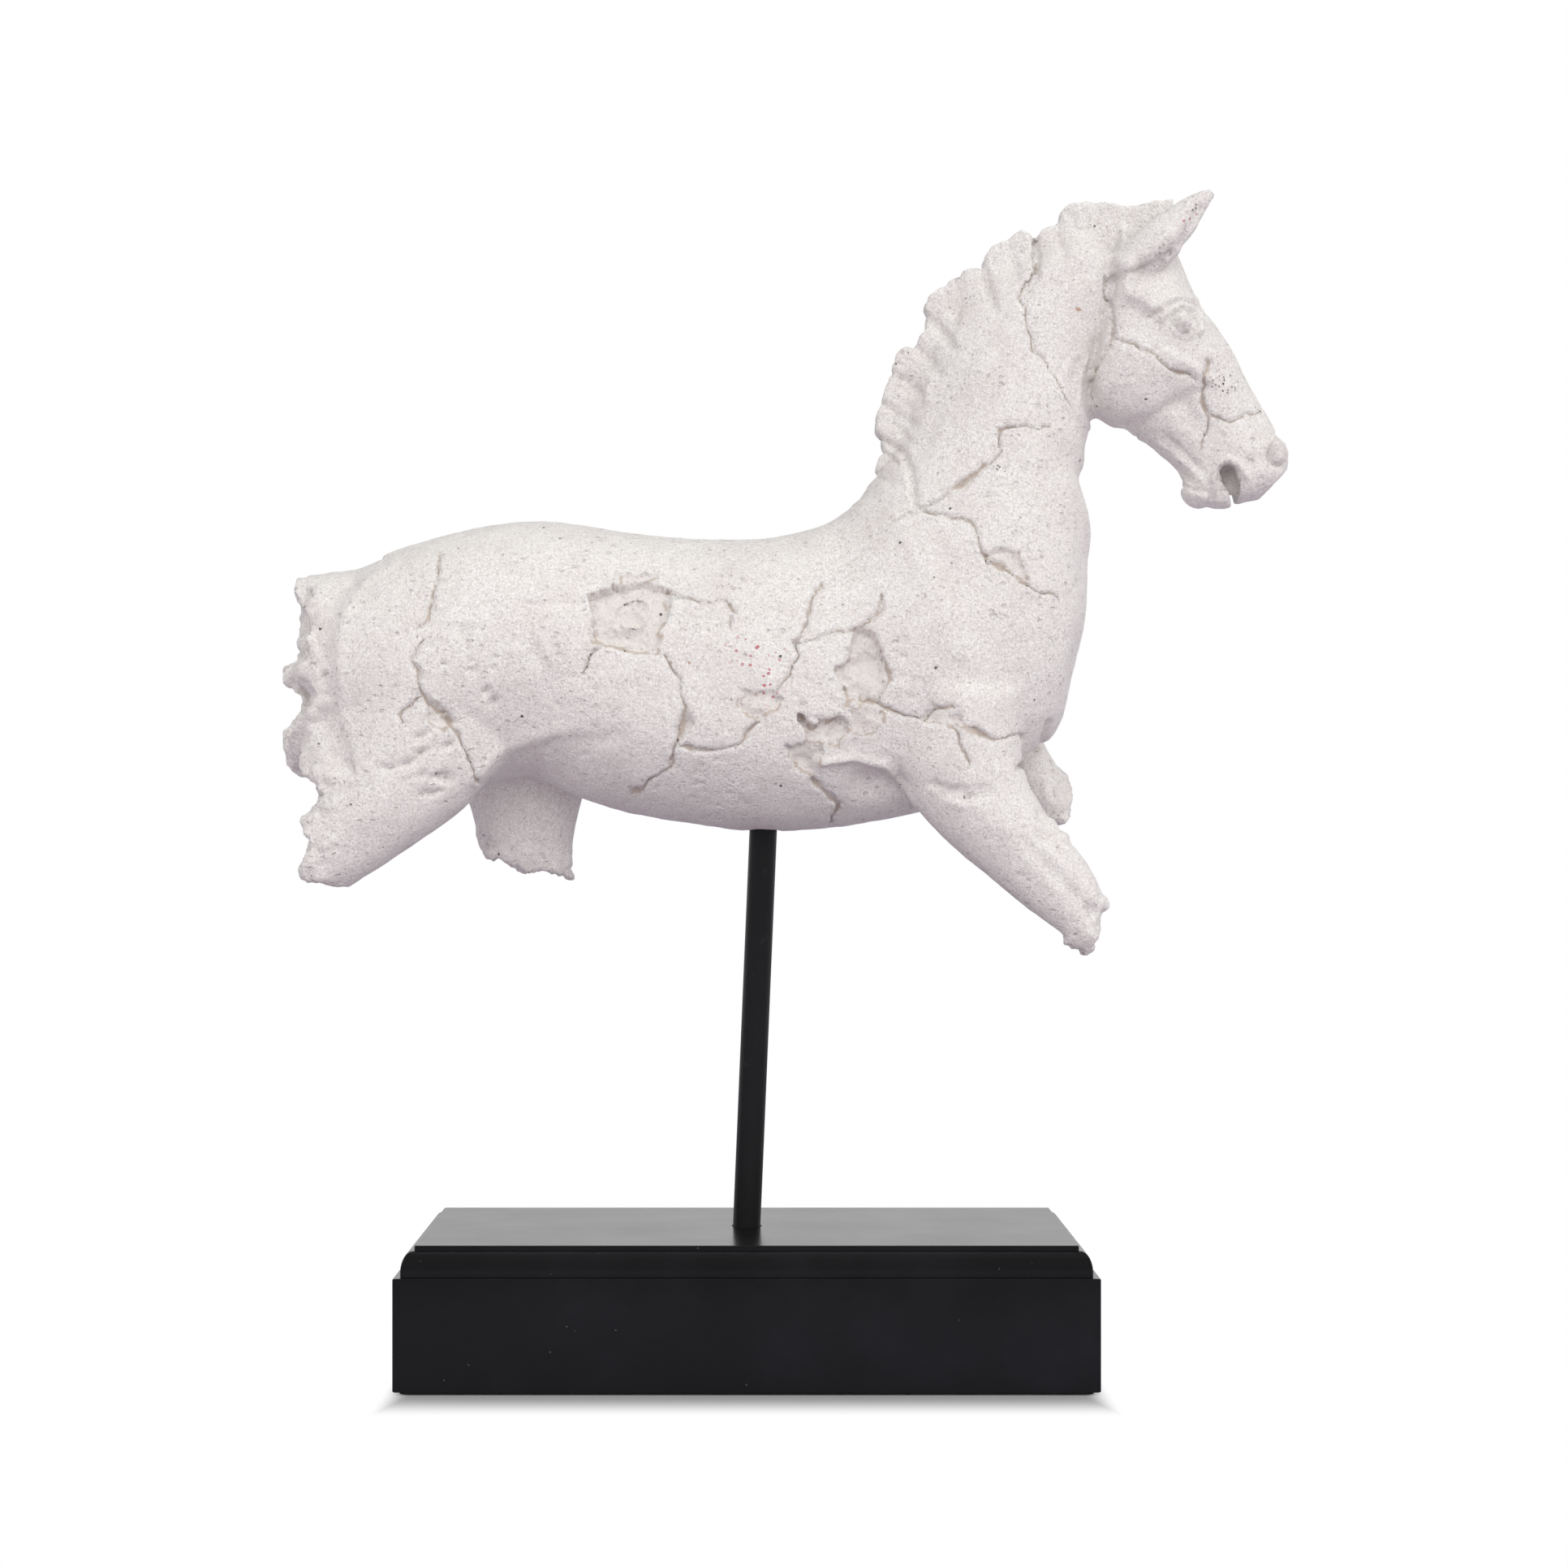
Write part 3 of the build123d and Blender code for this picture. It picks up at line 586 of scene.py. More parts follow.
# Cracks of the far side, in the same pixels, seen as if in a mirror
FAR_CRACKS = (
    ((1352, 352, 3), (1360, 384, 4), (1350, 412, 6), (1362, 440, 4), (1380, 452, 3), (1404, 448, 3)),
    ((1508, 462, 3), (1496, 488, 5), (1502, 512, 3), (1486, 536, 2)),
    ((1224, 312, 3), (1232, 348, 4), (1222, 380, 6), (1240, 420, 4), (1236, 462, 3), (1262, 500, 4),
     (1290, 508, 3)),
    ((1120, 604, 3), (1150, 596, 4), (1178, 612, 5), (1206, 604, 4), (1232, 622, 4), (1262, 618, 2)),
    ((1206, 606, 3), (1216, 650, 4), (1204, 690, 5), (1222, 724, 3)),
    ((1072, 700, 3), (1060, 742, 5), (1074, 786, 4), (1058, 830, 6), (1070, 874, 4)),
    ((1072, 790, 3), (1110, 802, 4), (1148, 792, 3)),
    ((914, 700, 3), (906, 742, 5), (922, 784, 6), (910, 826, 4), (924, 872, 5), (906, 922, 4), (896, 970, 3)),
    ((922, 786, 3), (962, 800, 4), (990, 790, 3)),
    ((806, 860, 4), (840, 872, 5), (874, 862, 5), (908, 870, 3)),
    ((720, 690, 3), (708, 736, 4), (720, 776, 5), (700, 820, 4), (706, 866, 3)),
    ((600, 690, 3), (586, 730, 5), (594, 776, 4), (574, 816, 5), (580, 866, 4), (560, 908, 3)),
    ((574, 816, 3), (536, 824, 4), (508, 812, 3)),
)

# Chipped patches of the near side
NEAR_CHIPS = (
    Chip(((726, 733), (740, 727), (753, 731), (763, 722), (811, 719), (822, 728), (824, 749), (817, 776),
          (814, 806), (776, 806), (745, 800), (732, 790), (731, 772), (726, 752)), 3.8),
    Chip(((761, 707), (811, 706), (808, 718), (763, 722)), 1.3),
    Chip(((1053, 776), (1078, 780), (1086, 800), (1096, 836), (1089, 852), (1081, 866), (1041, 869),
          (1040, 852), (1031, 824), (1048, 815), (1051, 799)), 3.8),
    Chip(((1048, 873), (1084, 871), (1090, 890), (1076, 906), (1050, 902)), 1.0),
    Chip(((986, 885), (998, 896), (1014, 894), (1031, 887), (1045, 904), (1035, 921), (1010, 918),
          (996, 912)), 4.0),
    Chip(((971, 921), (988, 917), (1010, 921), (1008, 944), (1002, 960), (985, 951), (970, 934)), 2.2),
    Chip(((920, 854), (928, 864), (937, 857), (952, 856), (961, 862), (962, 874), (950, 880), (930, 892),
          (918, 886), (914, 868)), 1.6),
    Chip(((1216, 684), (1230, 676), (1254, 680), (1262, 694), (1272, 712), (1270, 726), (1254, 722),
          (1240, 708), (1224, 700)), 1.6),
    Chip(((530, 872), (548, 876), (554, 892), (546, 902), (534, 894)), 1.5),
    Chip(((1138, 886), (1150, 874), (1164, 868), (1178, 870), (1174, 880), (1188, 892), (1208, 901),
          (1206, 908), (1184, 900), (1156, 890)), 1.5),
)

# Outlines of the casting's plain pockets
POCKETS = (
    ((725, 742), (728, 728), (759, 727), (762, 708), (810, 710), (810, 721), (824, 749),
     (817, 776), (814, 806), (732, 815), (732, 790), (727, 772)),
    ((1052, 778), (1080, 787), (1086, 815), (1096, 837), (1086, 851), (1084, 865),
     (1063, 862), (1038, 874), (1041, 848), (1030, 823), (1048, 812)),
    ((987, 885), (1007, 895), (1034, 888), (1045, 903),
     (1035, 918), (1011, 921), (997, 918)),
)

# Chipped patches of the far side
FAR_CHIPS = (
    Chip(((846, 772), (872, 764), (898, 774), (902, 806), (890, 834), (856, 838), (840, 812)), 2.0),
    Chip(((1128, 690), (1150, 684), (1160, 702), (1150, 722), (1130, 716)), 1.5),
    Chip(((620, 880), (650, 872), (664, 892), (648, 916), (622, 908)), 1.6),
)

# Lines of the broken ends
BREAK_LINES = (
    ((369, 725), (369, 755), (377, 769), (374, 789), (377, 809), (361, 829), (363, 838), (383, 858),
     (384, 878), (360, 910), (356, 933), (377, 958), (403, 981), (376, 1010), (389, 1036), (380, 1070),
     (392, 1093), (402, 1098)),
    ((596, 1046), (604, 1056), (618, 1053), (630, 1066), (648, 1074), (676, 1073), (690, 1079), (705, 1084)),
    ((1364, 1120), (1362, 1135), (1366, 1150), (1360, 1160), (1364, 1174), (1351, 1177), (1333, 1168)),
    ((1318, 962), (1324, 978), (1320, 990), (1325, 1006), (1317, 1014), (1296, 1016)),
)

# Top edge of the mane, from the poll to the withers, and the line of its base
CREST_LINE = (
    (1437, 242), (1356, 254), (1308, 257), (1297, 280), (1275, 292), (1256, 285), (1223, 307), (1208, 329),
    (1182, 337), (1167, 350), (1145, 366), (1136, 381), (1141, 407), (1127, 424), (1108, 437), (1099, 459),
    (1090, 492), (1078, 514), (1080, 537), (1086, 555), (1077, 581), (1075, 607), (1060, 618),
)

# Areas of red flecks and dark pits and single rusty spots of the near side
FLECK_AREAS = (
    spot((930, 806), (40, 24), 20),
    spot((950, 842), (20, 26)),
    spot((1466, 267), (15, 5), -38),
)
PIT_AREAS = (
    spot((1507, 473), (17, 15)),
    spot((1352, 280), (11, 9), 40),
    spot((1197, 371), (8, 10)),
    spot((1234, 576), (6, 13)),
    spot((1352, 498), (6, 8)),
    spot((1412, 492), (6, 6)),
    spot((1433, 308), (6, 6)),
    spot((1471, 256), (7, 9), 40),
    spot((1120, 440), (5, 6)),
)
RUST_SPOTS = (
    spot((1329, 381), (5, 4)),
    spot((848, 816), (3, 3)),
)


def sum_of_lifts(forms: tuple[Swell | Stroke, ...], places: np.ndarray) -> np.ndarray:
    """Height that some forms give each place together, in millimetres.

    Args:
        forms: The forms.
        places: Rows of pixel places.

    Returns:
        One height for each place.
    """
    heights = np.zeros(len(places))
    for form in forms:
        heights += form.lift(places)
    return heights


def even_out(field: np.ndarray, edges: np.ndarray, rounds: int, share: float) -> np.ndarray:
    """Even out a field over the points that edges join.

    Args:
        field: One row of values for each point.
        edges: Rows of two point numbers.
        rounds: How many times.
        share: How far each value goes towards its neighbours' mean.

    Returns:
        The smoothed field.
    """
    first, last = edges.T
    count = len(field)
    degrees = np.bincount(edges.ravel(), minlength=count).astype(float)[:, None]
    for _ in range(rounds):
        sums = np.empty_like(field)
        for axis in range(field.shape[1]):
            sums[:, axis] = np.bincount(first, field[last, axis], count)
            sums[:, axis] += np.bincount(last, field[first, axis], count)
        field = field + share * (sums / degrees - field)
    return field


class Surface:
    """The points of a dense mesh, which swells, strokes, chips and noise move."""

    def __init__(self, mesh: bpy.types.Mesh) -> None:
        """Read the mesh.

        Args:
            mesh: A mesh of one closed skin.
        """
        self.mesh = mesh
        flat = np.empty(len(mesh.vertices) * 3, np.float32)
        mesh.vertices.foreach_get("co", flat)
        self.points = flat.reshape(-1, 3).astype(float)
        pairs = np.empty(len(mesh.edges) * 2, np.int32)
        mesh.edges.foreach_get("vertices", pairs)
        self.edges = pairs.reshape(-1, 2)

    def relax(self, field: np.ndarray, rounds: int, share: float = 0.5) -> np.ndarray:
        """Even out a field over neighbouring points.

        Args:
            field: One row of values for each point.
            rounds: How many times.
            share: How far each value goes towards its neighbours' mean.

        Returns:
            The smoothed field.
        """
        return even_out(field, self.edges, rounds, share)

    def relax_part(self, shares: np.ndarray, rounds: int) -> None:
        """Smooth the places of some points while the rest hold.

        Args:
            shares: How far each point follows, from 0 to 1.
            rounds: How many times.
        """
        follows = shares > 0.01
        edges = self.edges[follows[self.edges].any(axis=1)]
        rows, places = np.unique(edges, return_inverse=True)
        smooth = even_out(self.points[rows], places.reshape(-1, 2), rounds, 0.5)
        self.points[rows] += (smooth - self.points[rows]) * shares[rows, None]

    def store(self) -> None:
        """Write the points back to the mesh."""
        self.mesh.vertices.foreach_set("co", self.points.astype(np.float32).ravel())
        self.mesh.update()

    def normals(self, rounds: int) -> np.ndarray:
        """Unit normals of the points as they are now, smoothed over some rounds.

        Args:
            rounds: How many times they are smoothed.

        Returns:
            One normal for each point.
        """
        self.store()
        flat = np.empty(len(self.points) * 3, np.float32)
        self.mesh.vertex_normals.foreach_get("vector", flat)
        field = self.relax(flat.reshape(-1, 3).astype(float), rounds)
        return field / np.linalg.norm(field, axis=1)[:, None]

    def push(self, heights: np.ndarray, rounds: int) -> None:
        """Move the points out along their smoothed normals.

        Args:
            heights: How far each point moves, in millimetres.
            rounds: Smoothing rounds of the normals.
        """
        self.points += self.normals(rounds) * (heights * MM)[:, None]


def copy_node(name: str) -> bmesh.types.BMesh:
    """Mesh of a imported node, with its loose triangles merged.

    Args:
        name: Name of the node.

    Returns:
        The mesh, for the caller to free.
    """
    shape = bmesh.new()
    shape.from_mesh(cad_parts[name].data)
    bmesh.ops.remove_doubles(shape, verts=shape.verts, dist=MM * 0.001)
    return shape


def add_object(name: str, shape: bmesh.types.BMesh) -> bpy.types.Object:
    """Turn a shape into a linked object with its place in its mesh.

    Args:
        name: Name of the piece.
        shape: Its geometry, which is freed.

    Returns:
        The new object.
    """
    mesh = bpy.data.meshes.new(name)
    shape.to_mesh(mesh)
    shape.free()
    piece = bpy.data.objects.new(name, mesh)
    bpy.context.scene.collection.objects.link(piece)
    return piece


def bake_modifiers(piece: bpy.types.Object) -> None:
    """Turn a piece with live modifiers into its plain mesh.

    Args:
        piece: The piece.
    """
    graph = bpy.context.evaluated_depsgraph_get()
    mesh = bpy.data.meshes.new_from_object(piece.evaluated_get(graph))
    piece.modifiers.clear()
    piece.data = mesh


class Signal:
    """A number that varies over a surface. Sums on it add Math nodes to its shader."""

    def __init__(self, shader: "Shader", socket: bpy.types.NodeSocket) -> None:
        """Wrap an output socket of the shader's tree."""
        self.shader = shader
        self.socket = socket

    def combine(self, operation: str, first: "Signal | float", last: "Signal | float") -> "Signal":
        """Add a Math node on two values.

        Args:
            operation: The node's operation.
            first: Its first value.
            last: Its second value.

        Returns:
            The node's result.
        """
        made = self.shader.node("ShaderNodeMath", {"operation": operation}, {0: first, 1: last})
        return Signal(self.shader, made.outputs[0])

    def __add__(self, other: "Signal | float") -> "Signal":
        """Sum of both."""
        return self.combine("ADD", self, other)

    def __sub__(self, other: "Signal | float") -> "Signal":
        """This less the other."""
        return self.combine("SUBTRACT", self, other)

    def __rsub__(self, other: float) -> "Signal":
        """The other less this."""
        return self.combine("SUBTRACT", other, self)

    def __mul__(self, other: "Signal | float") -> "Signal":
        """Product of both."""
        return self.combine("MULTIPLY", self, other)

    def __gt__(self, other: "Signal | float") -> "Signal":
        """1 where this is the greater."""
        return self.combine("GREATER_THAN", self, other)

    __radd__ = __add__
    __rmul__ = __mul__


class NodeTree:
    """A node tree that is filled by a script."""

    def __init__(self, tree: bpy.types.NodeTree) -> None:
        """Take over the tree.

        Args:
            tree: Any node tree.
        """
        self.tree = tree

    def node(self, kind: str, settings: dict | None = None, inputs: dict | None = None) -> bpy.types.Node:
        """Add a node.

        Args:
            kind: Type name of the node.
            settings: Its settings, set first.
            inputs: Values or links of its sockets, by name or index.

        Returns:
            The node.
        """
        made = self.tree.nodes.new(kind)
        for name, value in (settings or {}).items():
            setattr(made, name, value)
        for name, value in (inputs or {}).items():
            socket = made.inputs[name]
            source = value.socket if isinstance(value, Signal) else value
            if isinstance(source, bpy.types.NodeSocket):
                self.tree.links.new(source, socket)
            elif isinstance(source, tuple) and len(source) == 3 and socket.type == "RGBA":
                socket.default_value = (*source, 1.0)
            else:
                socket.default_value = source
        return made


class Shader(NodeTree):
    """The node tree of one material or world."""

    def __init__(self, tree: bpy.types.NodeTree) -> None:
        """Empty the tree.

        Args:
            tree: Node tree of a material or world.
        """
        super().__init__(tree)
        tree.nodes.clear()

    def object_place(self) -> bpy.types.NodeSocket:
        """Place of a surface point in the object's frame."""
        return self.node("ShaderNodeTexCoord").outputs["Object"]

    def stretched(self, place: bpy.types.NodeSocket, scale: Triple) -> bpy.types.NodeSocket:
        """Place scaled along its axes, so that a pattern on it is drawn out."""
        return self.node("ShaderNodeMapping", None, {"Vector": place, "Scale": scale}).outputs[0]

    def noise(
        self, place: bpy.types.NodeSocket, size: float, detail: float = 2.0, roughness: float = 0.5
    ) -> Signal:
        """Cloudy noise from 0 to 1.

        Args:
            place: Where it is read.
            size: Width of one cloud in metres.
            detail: How many finer layers it has.
            roughness: How strong they are.

        Returns:
            The noise.
        """
        inputs = {"Vector": place, "Scale": 1.0 / size, "Detail": detail, "Roughness": roughness}
        return Signal(self, self.node("ShaderNodeTexNoise", None, inputs).outputs["Fac"])

    def cells(self, place: bpy.types.NodeSocket, size: float) -> tuple[Signal, Signal]:
        """Scattered grains.

        Args:
            place: Where they are read.
            size: Their spacing in metres.

        Returns:
            Distance to the nearest grain's centre, and a random number for each grain.
        """
        made = self.node("ShaderNodeTexVoronoi", None, {"Vector": place, "Scale": 1.0 / size})
        split = self.node("ShaderNodeSeparateColor", None, {0: made.outputs["Color"]})
        return Signal(self, made.outputs["Distance"]), Signal(self, split.outputs[0])

    def ramp(self, value: Signal, low: float, high: float, start: float = 0.0, end: float = 1.0) -> Signal:
        """Smooth rise of a value.

        Args:
            value: What is read.
            low: Where the rise begins.
            high: Where it ends.
            start: Result up to low.
            end: Result from high on.

        Returns:
            The result.
        """
        inputs = {"Value": value, "From Min": low, "From Max": high, "To Min": start, "To Max": end}
        made = self.node("ShaderNodeMapRange", {"interpolation_type": "SMOOTHSTEP"}, inputs)
        return Signal(self, made.outputs[0])

    def blend(self, share: Signal | float, first: object, last: object) -> bpy.types.NodeSocket:
        """Mix of two colours.

        Args:
            share: Share of the second colour.
            first: First colour or socket.
            last: Second colour or socket.

        Returns:
            The mixed colour's socket.
        """
        inputs = {0: share, 6: first, 7: last}
        return self.node("ShaderNodeMix", {"data_type": "RGBA"}, inputs).outputs[2]

    def mask(self, mask: Mask) -> Signal:
        """Number that the mesh stores for each point."""
        made = self.node("ShaderNodeAttribute", {"attribute_name": mask.value})
        return Signal(self, made.outputs["Fac"])

    def axes(self, vector: bpy.types.NodeSocket) -> list[Signal]:
        """X, Y and Z of a vector."""
        made = self.node("ShaderNodeSeparateXYZ", None, {0: vector})
        return [Signal(self, socket) for socket in made.outputs]

    def axis_gap(self, value: Signal, half_size: float) -> Signal:
        """Distance along an axis past a half size on either side of zero."""
        return value.combine("ABSOLUTE", value, 0.0) - half_size

    def rays(self, kind: str) -> Signal:
        """1 on rays of a kind, such as Camera, and 0 on others."""
        made = self.node("ShaderNodeLightPath")
        return Signal(self, made.outputs[f"Is {kind} Ray"])

    def bump(self, height: Signal, depth: float) -> bpy.types.NodeSocket:
        """Normal of a surface with a height pattern.

        Args:
            height: The pattern from 0 to 1.
            depth: Its full height in metres.

        Returns:
            The normal's socket.
        """
        return self.node("ShaderNodeBump", None, {"Height": height, "Distance": depth}).outputs[0]

    def finish(self, surface: dict) -> None:
        """Close the tree with a Principled BSDF.

        Args:
            surface: Values or links of the BSDF's sockets.
        """
        made = self.node("ShaderNodeBsdfPrincipled", None, surface)
        self.node("ShaderNodeOutputMaterial", None, {"Surface": made.outputs[0]})


def new_material(name: str) -> tuple[bpy.types.Material, Shader]:
    """Make a material and the shader that fills it.

    Args:
        name: Name of the material.

    Returns:
        The material and its shader.
    """
    material = bpy.data.materials.new(name)
    material.use_nodes = True
    return material, Shader(material.node_tree)


@dataclass(frozen=True)
class ResinFinish:
    """Grainy off-white cast resin with pale brown cracks, dark pits and small crystals. Painted shade darkens
    its grain's hollows, creases, dents, pits and chip walls, and painted glints lighten its crystals.
    """

    body: Colour = (0.893, 0.883, 0.846)
    cloud: Colour = (0.842, 0.812, 0.782)
    crystal_and_glint: Colour = (0.97, 0.965, 0.955)
    # Darker grain tone, also used as painted shade in the resin's hollows
    grain_tone_and_hollow_shade: Colour = (0.60, 0.555, 0.53)
    speck: Colour = (0.36, 0.29, 0.27)
    crack: Colour = (0.50, 0.405, 0.325)
    chip: Colour = (0.77, 0.715, 0.67)
    fleck: Colour = (0.50, 0.05, 0.09)
    rust: Colour = (0.45, 0.20, 0.08)
    # Near-black painted shade inside the pits
    pit: Colour = (0.06, 0.05, 0.05)
    grain_size: float = 1.2 * MM
    sugar_size: float = 0.75 * MM
    sugar_shade_share: float = 0.60
    patch_size: float = 24 * MM
    dent_size: float = 2.6 * MM
    dent_stretch: Triple = (0.6, 1.0, 1.0)
    crystal_size: float = 1.1 * MM
    cloud_size: float = 16 * MM
    speck_size: float = 2.6 * MM
    pit_size: float = 6.0 * MM
    pock_size: float = 1.5 * MM
    fleck_size: float = 2.3 * MM
    patch_range: Place = (0.38, 0.62)
    dent_range: Place = (0.46, 0.26)
    fleck_range: Place = (0.46, 0.38)
    cloud_range: Place = (0.40, 0.70)
    sugar_range: Place = (0.40, 0.60)
    facet_range: Place = (0.42, 0.22)
    crease_range: Place = (0.42, 0.30)
    speck_range: Place = (0.34, 0.22)
    stain_range: Place = (0.25, 1.0)
    pit_range: Place = (0.10, 0.06)
    pock_range: Place = (0.42, 0.32)
    rust_range: Place = (0.4, 0.8)
    crease_shade_share: float = 0.24
    dent_shade_share: float = 0.42
    crystal_glint_share: float = 0.8
    speck_share: float = 0.4
    chip_share: float = 0.45
    stain_share: float = 0.72
    pit_shade_share: float = 0.85
    fleck_share: float = 0.8
    rust_share: float = 0.7
    bump_depth: float = 0.75 * MM

    def material(self) -> bpy.types.Material:
        """Build the material.

        Returns:
            The material.
        """
        material, shader = new_material("stone_resin")
        place = shader.object_place()
        cloud = shader.noise(place, self.cloud_size, 4.0, 0.6)
        grain = shader.noise(place, self.grain_size, 2.0, 0.7)
        sugar = shader.noise(place, self.sugar_size, 3.0, 0.8)
        coarse = shader.noise(place, self.grain_size * 2.4, 2.0, 0.6)
        patch = shader.ramp(shader.noise(place, self.patch_size, 1.0, 0.5), *self.patch_range)
        facet, kind = shader.cells(place, self.crystal_size)
        mote, mote_kind = shader.cells(place, self.speck_size)
        hole, hole_kind = shader.cells(place, self.pit_size)
        drop, drop_kind = shader.cells(place, self.fleck_size)
        drawn = shader.stretched(place, self.dent_stretch)
        hollow, hollow_kind = shader.cells(drawn, self.dent_size)
        dent = shader.ramp(hollow + grain * 0.3, *self.dent_range) * (hollow_kind > 0.62) * (1.0 - patch)
        crack = shader.mask(Mask.CRACK)
        chip = shader.mask(Mask.CHIP)
        fleck = shader.ramp(drop + grain * 0.3, *self.fleck_range) * (drop_kind > 0.30)
        fleck = fleck * shader.mask(Mask.FLECK)
        colour = shader.blend(shader.ramp(cloud, *self.cloud_range), self.body, self.cloud)
        # Darker crinkle colour in the sugar grain's low parts, the creases and the dents: partly the resin's
        # grain tone, partly painted shade in hollows
        shaded_sugar = shader.blend(self.sugar_shade_share, colour, self.grain_tone_and_hollow_shade)
        colour = shader.blend(shader.ramp(sugar, *self.sugar_range), shaded_sugar, colour)
        # Whiter, glossier crystals; their lighter colour is partly a painted glint
        crystal_glint = shader.ramp(facet, *self.facet_range) * (kind > 0.85 - patch * 0.40)
        colour = shader.blend(crystal_glint * self.crystal_glint_share, colour, self.crystal_and_glint)
        crease = shader.ramp(grain, *self.crease_range)
        hollow_shade = crease * self.crease_shade_share + dent * self.dent_shade_share
        colour = shader.blend(hollow_shade, colour, self.grain_tone_and_hollow_shade)
        speck = shader.ramp(mote + grain * 0.25, *self.speck_range) * (mote_kind > 0.88)
        colour = shader.blend(speck * self.speck_share, colour, self.speck)
        colour = shader.blend(chip * self.chip_share, colour, self.chip)
        stain = shader.ramp(crack * (0.55 + grain * 0.9), *self.stain_range)
        colour = shader.blend(stain * self.stain_share, colour, self.crack)
        # Near-black pits and pocks, also sunk by the bump: painted shade in the holes
        pit = shader.ramp(hole, *self.pit_range) * (hole_kind > 0.90)
        pock, pock_kind = shader.cells(place, self.pock_size)
        pocked = shader.ramp(pock + grain * 0.2, *self.pock_range) * (pock_kind > 0.45)
        pit = pit + pocked * shader.mask(Mask.PITTED)
        colour = shader.blend(pit * self.pit_shade_share, colour, self.pit)
        colour = shader.blend(fleck * self.fleck_share, colour, self.fleck)
        rust = shader.ramp(shader.mask(Mask.RUST), *self.rust_range)
        colour = shader.blend(rust * self.rust_share, colour, self.rust)
        height = sugar * 0.45 + grain * 0.4 + coarse * 0.4 - crease * 0.2 - dent * 0.5 - speck * 0.3 - pit
        shader.finish({
            "Base Color": colour,
            "Roughness": 0.62 - crystal_glint * 0.34 - grain * 0.12,
            "Normal": shader.bump(height, self.bump_depth),
            "Specular IOR Level": 0.45,
        })
        return material


@dataclass(frozen=True)
class LacquerFinish:
    """Satin black lacquer on board, with a faint orange peel and dust."""

    body: Colour = (0.0062, 0.0062, 0.0070)
    worn: Colour = (0.0105, 0.0105, 0.0125)
    peel_size: float = 3.5 * MM
    smear_size: float = 40 * MM
    dust: Colour = (0.30, 0.30, 0.30)
    dust_share: float = 0.18
    smear_range: Place = (0.4, 0.8)
    mote_range: Place = (0.16, 0.06)
    bare_share: float = 0.965
    bump_depth: float = 0.02 * MM

    def material(self) -> bpy.types.Material:
        """Build the material.

        Returns:
            The material.
        """
        material, shader = new_material("plinth_lacquer")
        place = shader.object_place()
        smear = shader.noise(place, self.smear_size, 4.0, 0.6)
        peel = shader.noise(place, self.peel_size, 2.0, 0.5)
        dust, kind = shader.cells(place, self.peel_size * 0.8)
        mote = shader.ramp(dust, *self.mote_range) * (kind > self.bare_share)
        colour = shader.blend(shader.ramp(smear, *self.smear_range), self.body, self.worn)
        colour = shader.blend(mote * self.dust_share, colour, self.dust)
        shader.finish({
            "Base Color": colour,
            "Roughness": 0.19 + smear * 0.10 + mote * 0.2,
            "Normal": shader.bump(peel, self.bump_depth),
            "Specular IOR Level": 0.42,
        })
        return material


@dataclass(frozen=True)
class RodPaintFinish:
    """Satin black paint on a steel rod."""

    body: Colour = (0.009, 0.009, 0.0095)
    scuff: Colour = (0.030, 0.030, 0.031)
    grain_size: float = 0.7 * MM
    scuff_size: float = 9 * MM
    scuff_range: Place = (0.58, 0.82)
    bump_depth: float = 0.03 * MM

    def material(self) -> bpy.types.Material:
        """Build the material.

        Returns:
            The material.
        """
        material, shader = new_material("rod_black")
        place = shader.object_place()
        grain = shader.noise(place, self.grain_size, 2.0, 0.6)
        scuff = shader.ramp(shader.noise(place, self.scuff_size, 5.0, 0.65), *self.scuff_range)
        shader.finish({
            "Base Color": shader.blend(scuff, self.body, self.scuff),
            "Roughness": 0.36 + grain * 0.14,
            "Normal": shader.bump(grain, self.bump_depth),
            "Specular IOR Level": 0.42,
        })
        return material


@dataclass(frozen=True)
class SteelFinish:
    """Plain or plated steel with fine drawn lines."""

    name: str = "fixing_steel"
    body: Colour = (0.60, 0.60, 0.61)
    dull: Colour = (0.42, 0.42, 0.43)
    grain_size: float = 0.5 * MM
    cloud_size: float = 5 * MM
    cloud_range: Place = (0.35, 0.7)
    bump_depth: float = 0.02 * MM

    def material(self) -> bpy.types.Material:
        """Build the material.

        Returns:
            The material.
        """
        material, shader = new_material(self.name)
        place = shader.object_place()
        cloud = shader.noise(place, self.cloud_size, 4.0, 0.6)
        grain = shader.noise(place, self.grain_size, 2.0, 0.6)
        shader.finish({
            "Base Color": shader.blend(shader.ramp(cloud, *self.cloud_range), self.body, self.dull),
            "Roughness": 0.28 + cloud * 0.22,
            "Metallic": 1.0,
            "Normal": shader.bump(grain, self.bump_depth),
        })
        return material


@dataclass(frozen=True)
class RawWoodFinish:
    """Unfinished board with its grain along X."""

    early: Colour = (0.56, 0.41, 0.25)
    late: Colour = (0.38, 0.25, 0.135)
    ring_size: float = 7 * MM
    fibre_size: float = 0.9 * MM
    stretch: Triple = (0.06, 1.0, 1.0)
    ring_range: Place = (0.40, 0.62)
    fibre_range: Place = (0.45, 0.8)
    ring_share: float = 0.7
    fibre_share: float = 0.4
    bump_depth: float = 0.10 * MM

    def material(self) -> bpy.types.Material:
        """Build the material.

        Returns:
            The material.
        """
        material, shader = new_material("raw_wood")
        place = shader.object_place()
        drawn = shader.stretched(place, self.stretch)
        rings = shader.noise(drawn, self.ring_size, 3.0, 0.6)
        fibres = shader.noise(drawn, self.fibre_size, 3.0, 0.6)
        share = shader.ramp(rings, *self.ring_range) * self.ring_share
        share = share + shader.ramp(fibres, *self.fibre_range) * self.fibre_share
        shader.finish({
            "Base Color": shader.blend(share, self.early, self.late),
            "Roughness": 0.62 + fibres * 0.2,
            "Normal": shader.bump(fibres + rings * 0.5, self.bump_depth),
        })
        return material


